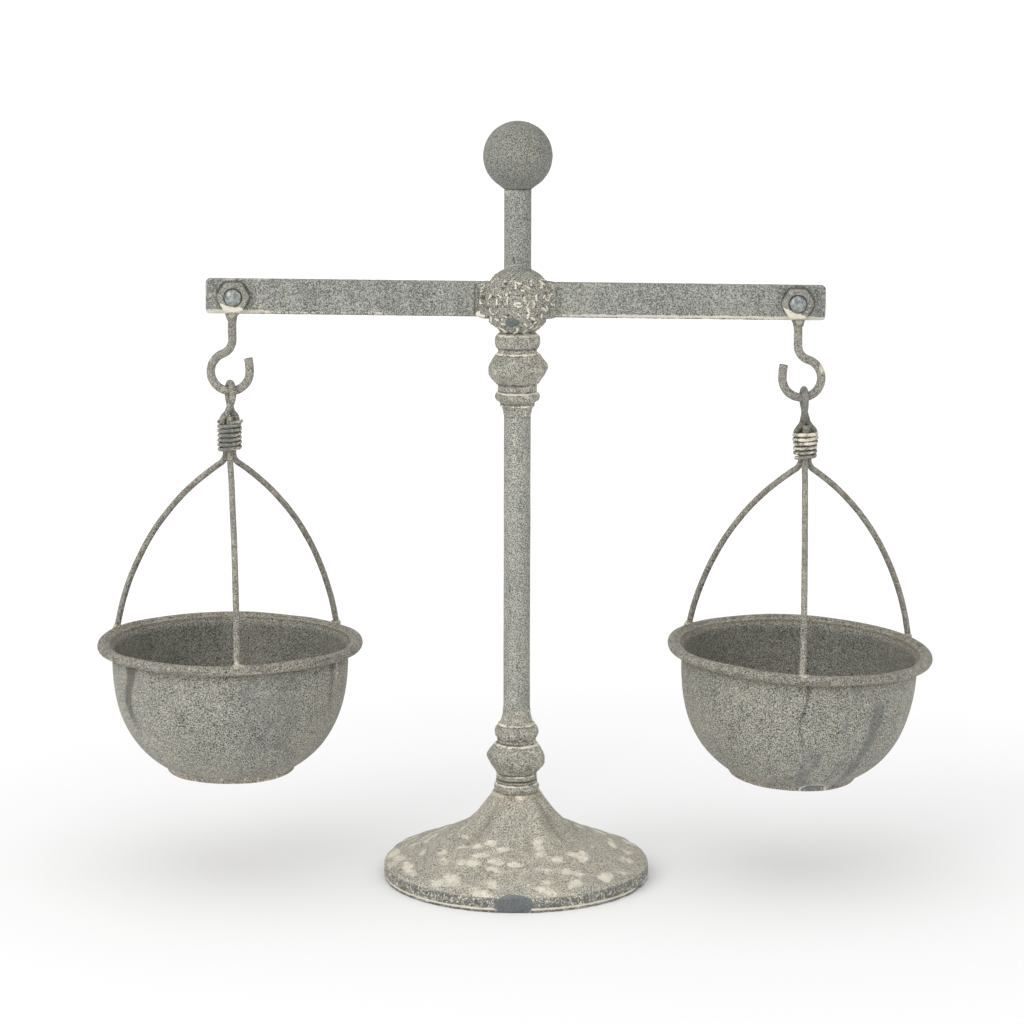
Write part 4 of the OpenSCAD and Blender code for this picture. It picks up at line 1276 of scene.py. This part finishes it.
bind_wire = 2.3 * mm
bind_paint = washed_metal("washed_binding", (75, 76, 71), (170, 168, 158), (234, 226, 208), contrast=0.7)
for side, turns, start_turn in (("left", 6.4, 60), ("right", 5.4, 200)):
    low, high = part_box("binding_" + side)
    outer = (high.x - low.x) / 2
    middle = outer - bind_wire / 2
    rise = (high.z - low.z - bind_wire) / turns
    low_radius = middle * (1.0 if side == "left" else 0.94)
    high_radius = middle * (1.0 if side == "left" else 1.12)
    sizes = dict(zip(coil_names, (turns, rise, low_radius, high_radius, bind_wire)))
    base = line_object("seed", [(0, 0, 0), (0, 0, mm)])
    binding = grow(f"binding_{side}_wound", base, coil_tree, {**sizes, "Finish": bind_paint})
    centre = Vector(((low.x + high.x) / 2 + bind_off[side], (low.y + high.y) / 2, low.z + bind_wire / 2))
    binding.data.transform(Matrix.Translation(centre) @ Matrix.Rotation(math.radians(start_turn), 4, "Z"))
    outward(binding)
    if side == "left":
        # the binding's end, bent out and cut at its upper right
        end_z = high.z - bind_wire / 2
        tail = [(0.8, -5.6, -0.3), (3.2, -5.4, 0.0), (5.8, -4.4, 0.3), (7.9, -3.2, 0.9)]
        tail = [(centre.x + a * mm, centre.y + b * mm, end_z + c * mm) for a, b, c in eased(tail)]
        end_piece = wire("tail", tail, bind_wire * 0.86, bind_paint, wobble=0.0, spacing=0.6 * mm, sides=14)
        binding = join(f"binding_{side}_wound", [binding, end_piece])
    points = read(binding)
    radius, angle = polar(points, centre)
    crown = step(radius, middle + 0.45 * bind_wire * 0.55, middle + bind_wire * 0.5)
    level = (points[:, 2] - low.z) / mm
    patch = lumps(points, 4 * mm, 5)
    if side == "left":
        cream = 0.22 * crown + crown * step(angle, -1.45, -0.7) * (0.25 + 0.9 * step(level, 3.4, 1.6))
    else:
        cream = crown * (0.64 + 0.5 * patch)
    # The grooves between the turns are painted dark as shade.
    mark(
        binding,
        wash=cream,
        bare=0.75 * crown * (side == "left") * stripe(angle, -100, 0.7, 0.2),
        grime=0.95 * step(radius, middle + 0.22 * bind_wire, middle - 0.05 * bind_wire),
        veins=0.15 * crown,
    )
    fit(binding, "pan_" + side, "washed_binding", "binding_" + side)


# ---------- Bowls ----------
# Spun from thin sheet steel: a round wall with a rolled rim and a shallow pressed foot. The paint is
# speckled, brownish on the rim, and dark drips run down the wall of the right bowl. The inside, the
# band under the rolled rim, the sides turned away from the front and the very bottom are painted darker
# as shade.

bowl_r = 70.3
bowl_wall = 1.3
bowl_foot_r = 39.5
bowl_foot_h = 3.9
curl_r = 2.9
curl_x = 76.1
wall_power = 2.5
flange_r = curl_x - bowl_r - 1.1
wall_top = 0.4 - flange_r


def bowl_outline(depth):
    """Outline of the spun sheet from the foot's middle, out round the rolled rim and back inside."""
    tall = (depth - bowl_foot_h + wall_top) / (1 - (bowl_foot_r / bowl_r) ** wall_power) ** (1 / wall_power)

    def side_of(inset, foot):
        """Points up the wall, from its foot to its top."""
        size, deep = bowl_r - inset, tall - inset
        last = deep * (1 - (foot / size) ** wall_power) ** (1 / wall_power)
        drops = last * np.sin(np.linspace(math.pi / 2, 0, 44))
        return [(size * (1 - (d / deep) ** wall_power) ** (1 / wall_power), wall_top - d) for d in drops]

    middle = (bowl_r + flange_r, wall_top)
    shape = [(r, -depth) for r in np.linspace(0, bowl_foot_r - 3.4, 16)]
    shape += arc((bowl_foot_r - 3.4, -depth + 2.2), 2.2, -80, -12, 7)
    shape += [(bowl_foot_r - 0.7, -depth + 2.9)]
    shape += side_of(0.0, bowl_foot_r)
    shape += arc(middle, flange_r, 172, 118, 6)
    shape += arc((curl_x, 0), curl_r, -168, 150, 26)
    shape += arc(middle, flange_r + bowl_wall, 108, 172, 8)
    shape += list(reversed(side_of(bowl_wall, bowl_foot_r - bowl_wall)))
    shape += [(r, -depth + bowl_wall) for r in np.linspace(bowl_foot_r - bowl_wall - 0.6, 0, 14)]
    return [(r * mm, z * mm) for r, z in shape]


bowl_paint = {}
for side, runs in (("left", 0.12), ("right", 0.2)):
    bowl_paint[side] = washed_metal(
        "washed_sheet_" + side, (56, 59, 53), (190, 188, 177), (220, 211, 193), contrast=1.45, runs=runs
    )
bowl_tilt = {"left": (0.0, math.radians(0.3)), "right": (math.radians(1.5), math.radians(2.4))}
bowl_off = {"left": -2.2 * mm, "right": 0.2 * mm}
bowl_place = {}
for side in ("left", "right"):
    low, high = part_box("bowl_" + side)
    rim_z = high.z - 3 * mm
    depth = (rim_z - low.z) / mm
    centre = Vector(((low.x + high.x) / 2 + bowl_off[side], (low.y + high.y) / 2, rim_z))
    bowl_place[side] = centre
    bowl = turned(f"bowl_{side}_spun", bowl_outline(depth), 320, bowl_paint[side])
    points = read(bowl)
    radius, angle = polar(points)
    shift = 3.1 if side == "left" else 11.7
    swell = lumps(points, 30 * mm, shift)
    ripple = lumps(points, 9 * mm, shift + 2)
    push(bowl, (0.35 * swell + 0.08 * ripple) * mm)
    points = read(bowl)
    at_rim = step(radius / mm, 66, 76)
    points[:, 2] += (0.35 * np.sin(2 * angle + shift) + 0.22 * np.sin(5 * angle)) * mm * at_rim
    write(bowl, points)
    level = points[:, 2] / mm
    on_curl = step(radius / mm, bowl_r + 1.0, bowl_r + 2.5)
    normal = read(bowl, "normal")
    inward = normal[:, 0] * np.cos(angle) + normal[:, 1] * np.sin(angle)
    inside = (inward < 0.0) & (radius < bowl_r * mm) | ((normal[:, 2] > 0.5) & (radius < 66 * mm))
    wall = ~inside & (on_curl < 0.3)
    foot_band = step(level, -66, -74) * wall
    under_rim = step(level, -12, -4) * wall
    worn = lumps(points, 2.6 * mm, shift)
    drift = 0.04 * np.sin(level / 6)
    if side == "left":
        shade = stripe(angle, -143, 0.10, 0.03, drift) * step(level, -58, -30)
        shade += 0.7 * stripe(angle, -27, 0.06, 0.02) * step(level, -62, -20)
        zinc = 0.42 * stripe(angle, -66, 0.6, 0.15) * step(level, -70, -50)
        pale = 0.6 * stripe(angle, -22, 0.025, 0.008) * step(level, -45, -10)
        foot_cream = 0.62 * foot_band * step(worn, -0.2, 0.4)
    else:
        shade = stripe(angle, -92, 0.022, 0.008, drift * 0.6) * step(level, -48, -40)
        main_run = stripe(angle, -55, 0.12, 0.04, 0.05 * np.sin(level / 14))
        side_run = stripe(angle, -69, 0.07, 0.02, drift)
        low_run = stripe(angle, -87, 0.14, 0.05, drift) * step(level, -28, -48)
        shade += 0.55 * main_run * step(level, -10, -22) + 0.22 * side_run
        zinc = 0.50 * main_run * step(level, -8, -20) + 0.42 * side_run + 0.46 * low_run
        spot = np.hypot(turn_from(angle, -76) / 0.20, (level + 77.7) / 5.4)
        zinc += 0.9 * step(spot + 0.12 * worn, 1.0, 0.85)
        pale = 0.75 * step(np.abs(spot + 0.1 * worn - 1.1), 0.13, 0.04)
        foot_cream = 0.30 * foot_band * step(worn, 0.0, 0.5)
    lip = on_curl * step(level, -2.9, -1.6) * step(level, 0.2, -1.0)
    # Painted shade: the inside, the band under the rolled rim, the sides turned away from the front and the
    # very bottom are darkened, some of it brown.
    mark(
        bowl,
        wash=(foot_cream + pale) * wall
        + 0.34 * lip * step(worn, -0.3, 0.3)
        + 0.15 * on_curl * step(worn, 0, 0.6),
        bare=zinc * wall + 0.20 * inside * step(swell, 0.0, 0.6),
        grime=shade * 0.8 * wall + 0.52 * inside + 0.55 * on_curl * step(worn, 0.4, -0.3) + 0.45 * under_rim
        + 0.22 * (level < -77.2),
        veins=0.5 * foot_band + 0.22 * on_curl,
        brown=0.42 * on_curl + 0.5 * under_rim + 0.5 * foot_band + 0.35 * inside * step(ripple, -0.1, 0.5)
        + 0.3 * wall * step(np.abs(turn_from(angle, -90)), 0.9, 1.3),
    )
    lean = Matrix.Rotation(bowl_tilt[side][0], 4, "X") @ Matrix.Rotation(bowl_tilt[side][1], 4, "Y")
    bowl.data.transform(Matrix.Translation(centre) @ lean)
    fit(bowl, "pan_" + side, "washed_sheet", "bowl_" + side)


# ---------- Stays and welds ----------
# Three 4 mm wires run down from each binding, bend out under it and bow down to the bowl's rim. A small
# weld, pale with wash, holds each foot on the rolled rim.

stay_bundle = 2.44
stay_spread = 57.0
stay_bend = 8.0
stay_foot = bowl_r + 6.7
weld_paint = washed_metal(
    "pale_weld", (107, 102, 91), (198, 192, 177), (214, 205, 188), contrast=0.8, haze=0.05
)
hanger_turn = {"left": 8.0, "right": -4.0}
stay_thick = 3.7 * mm


def stay_line(bind_z, top_z, foot_z):
    """Path (out, up) of a stay: straight in the binding, a small bend, and a long bow to its foot."""
    spread = math.radians(stay_spread)
    bend_middle = (stay_bundle + stay_bend, bind_z)
    bow_x = bend_middle[0] - stay_bend * math.cos(spread)
    bow_z = bend_middle[1] - stay_bend * math.sin(spread)
    run, drop = stay_foot - bow_x, bow_z - foot_z
    foot_turn = 2 * math.atan2(run, drop) - spread
    bow_r = run / (math.cos(foot_turn) - math.cos(spread))
    middle = (bow_x - bow_r * math.cos(spread), bow_z - bow_r * math.sin(spread))
    straight = [(stay_bundle, z) for z in np.linspace(top_z, bind_z, 6)]
    small = arc(bend_middle, stay_bend, 180, 180 + stay_spread, 10)[1:]
    bow = arc(middle, bow_r, stay_spread, math.degrees(foot_turn), 40)[1:]
    return straight + small + bow


for side in ("left", "right"):
    low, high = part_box("binding_" + side)
    rim = bowl_place[side]
    axis = (rim.x, (low.y + high.y) / 2)
    bind_z = (low.z - rim.z) / mm
    top_z = (high.z - rim.z) / mm + (2.0 if side == "left" else 3.4)
    welds = []
    for name, turn in (("front", 270), ("back_a", 30), ("back_b", 150)):
        aim = math.radians(turn + hanger_turn[side])
        foot_x = stay_foot * math.cos(aim)
        foot_y = stay_foot * math.sin(aim)
        foot_z = 2.6 - foot_x * math.sin(bowl_tilt[side][1]) + foot_y * math.sin(bowl_tilt[side][0])
        path = []
        for out, up in stay_line(bind_z, top_z, foot_z):
            off = (bind_off[side] - bowl_off[side]) * min(up / bind_z, 1)
            at_x = axis[0] + off + out * mm * math.cos(aim)
            path.append((at_x, axis[1] + out * mm * math.sin(aim), rim.z + up * mm))
        stay = wire(f"stay_{name}_{side}_bowed", path, stay_thick, wire_paint, spacing=1.2 * mm, sides=18)
        points = read(stay)
        level = (points[:, 2] - rim.z) / mm
        old = lumps(points, 4 * mm, turn)
        front = name == "front"
        mark(
            stay,
            wash=0.34 * step(old, 0.1, 0.6) + 0.3 * step(level, 8, 4),
            bare=0.25 * step(old, -0.2, -0.6),
            brown=0.5 * step(old, 0.2, -0.4),
            grime=(0.42 if front else 0.2) * step(level, 60, 20) * step(old, 0.3, -0.4)
            + 0.2 * step(level, bind_z - 8, bind_z),
            veins=0.3,
        )
        fit(stay, "pan_" + side, "washed_wire", f"stay_{name}_{side}")
        foot_at = (axis[0] + foot_x * mm, axis[1] + foot_y * mm, rim.z + (foot_z + 0.3) * mm)
        weld = ball("weld", 2.5 * mm, foot_at, (1.0, 1.0, 0.8), 3)
        points = read(weld)
        push(weld, 0.45 * lumps(points, 2.4 * mm, turn / 90) * mm)
        side_aim = Vector((-math.sin(aim), math.cos(aim), 0)) * 2.6 * mm
        toe_at = Vector(foot_at) + side_aim - Vector((0, 0, 0.5 * mm))
        toe = ball("toe", 1.8 * mm, toe_at, (1.0, 1.0, 0.8), 3)
        push(toe, 0.4 * lumps(read(toe), 1.8 * mm, turn / 45) * mm)
        welds += [weld, toe]
    for one in welds:
        one.data.materials.append(weld_paint)
        for polygon in one.data.polygons:
            polygon.use_smooth = True
    beads = join(f"welds_{side}_beads", welds)
    points = read(beads)
    dark_spots = step(lumps(points, 2 * mm, 5), 0.1, 0.6)
    mark(beads, wash=0.5 + 0.4 * lumps(points, 1.6 * mm), grime=0.3 * dark_spots)
    fit(beads, "pan_" + side, "pale_weld", f"welds_{side}")


# ---------- Fasteners inside ----------
# Tie rod, washer and nut that clamp the foot, the column and the head together, and the slotted pivot
# pin. They keep their machined shape and are plain zinc plated steel.

plain_zinc = worn_zinc("plain_zinc", (120, 124, 124), (186, 190, 188), (1.0, 1.0, 0.25))
for node in ("base_washer", "base_nut", "tie_rod", "pivot_pin"):
    made = frame["nodes"][node]
    made.data.materials.clear()
    made.data.materials.append(plain_zinc)


# ---------- Table, light and camera ----------
# A plain pale table that runs back into a white room, a very wide soft light from above and in front,
# and a fainter one from the front left.


def stage_paint(name, colour, rough):
    material = bpy.data.materials.new(name)
    material.use_nodes = True
    shader = material.node_tree.nodes["Principled BSDF"]
    shader.inputs["Base Color"].default_value = colour
    shader.inputs["Roughness"].default_value = rough
    shader.inputs["Specular IOR Level"].default_value = 0.1
    return material


table = block("table", (-6, -4, -0.02), (6, 9, 0.0), stage_paint("pale_table", (0.93, 0.93, 0.93, 1), 0.9))
# the table glows more and more away from the balance, a painted light that fades it into the white of the
# room
start = Value(table.data.materials[0].node_tree)
place = start.node("ShaderNodeTexCoord", output="Object")
away = start.node("ShaderNodeVectorMath", {"operation": "LENGTH"}, {0: place}, output=1)
fade = away.between(0.3, 1.1) * 0.16
shader = start.tree.nodes["Principled BSDF"]
shader.inputs["Emission Color"].default_value = (1, 1, 1, 1)
start.tree.links.new(fade.socket, shader.inputs["Emission Strength"])

world = bpy.data.worlds.new("white_room")
world.use_nodes = True
room = Value(world.node_tree)
glow = room.node("ShaderNodeBackground", inputs={"Color": (1, 1, 1, 1), "Strength": 0.80})
seen = room.node("ShaderNodeBackground", inputs={"Color": (1, 1, 1, 1), "Strength": 1.05})
by_eye = room.node("ShaderNodeLightPath", output="Is Camera Ray")
both = room.node("ShaderNodeMixShader", inputs={0: by_eye, 1: glow, 2: seen})
world.node_tree.links.new(both.socket, world.node_tree.nodes["World Output"].inputs["Surface"])
bpy.context.scene.world = world


def soft_light(name, at, aim, size, power):
    lamp = bpy.data.lights.new(name, "AREA")
    lamp.shape = "RECTANGLE"
    lamp.size, lamp.size_y = size
    lamp.energy = power
    made = placed(name, lamp)
    made.location = at
    made.rotation_euler = (Vector(aim) - Vector(at)).to_track_quat("-Z", "Y").to_euler()


key = bpy.data.lights.new("window", "SUN")
key.energy = 0.82
key.angle = math.radians(100)
window = placed("window", key)
window.rotation_euler = Vector((0.20, 0.62, -1.0)).to_track_quat("-Z", "Y").to_euler()
soft_light("front_left", (-1.5, -1.9, 1.3), (0, 0, 0.2), (1.2, 1.2), 12)

camera_data = bpy.data.cameras.new("camera")
camera_data.sensor_width = 36
camera_data.lens = 107.3
camera_data.clip_start = 0.1
camera = placed("camera", camera_data)
camera_at = Matrix.Translation((-0.003, -1.780, 0.534))
look_down = Matrix.Rotation(math.radians(90 - 9.94), 4, "X")
camera.matrix_world = camera_at @ look_down @ Matrix.Rotation(math.radians(0.12), 4, "Z")
bpy.context.scene.camera = camera
bpy.context.scene.view_settings.view_transform = "Standard"
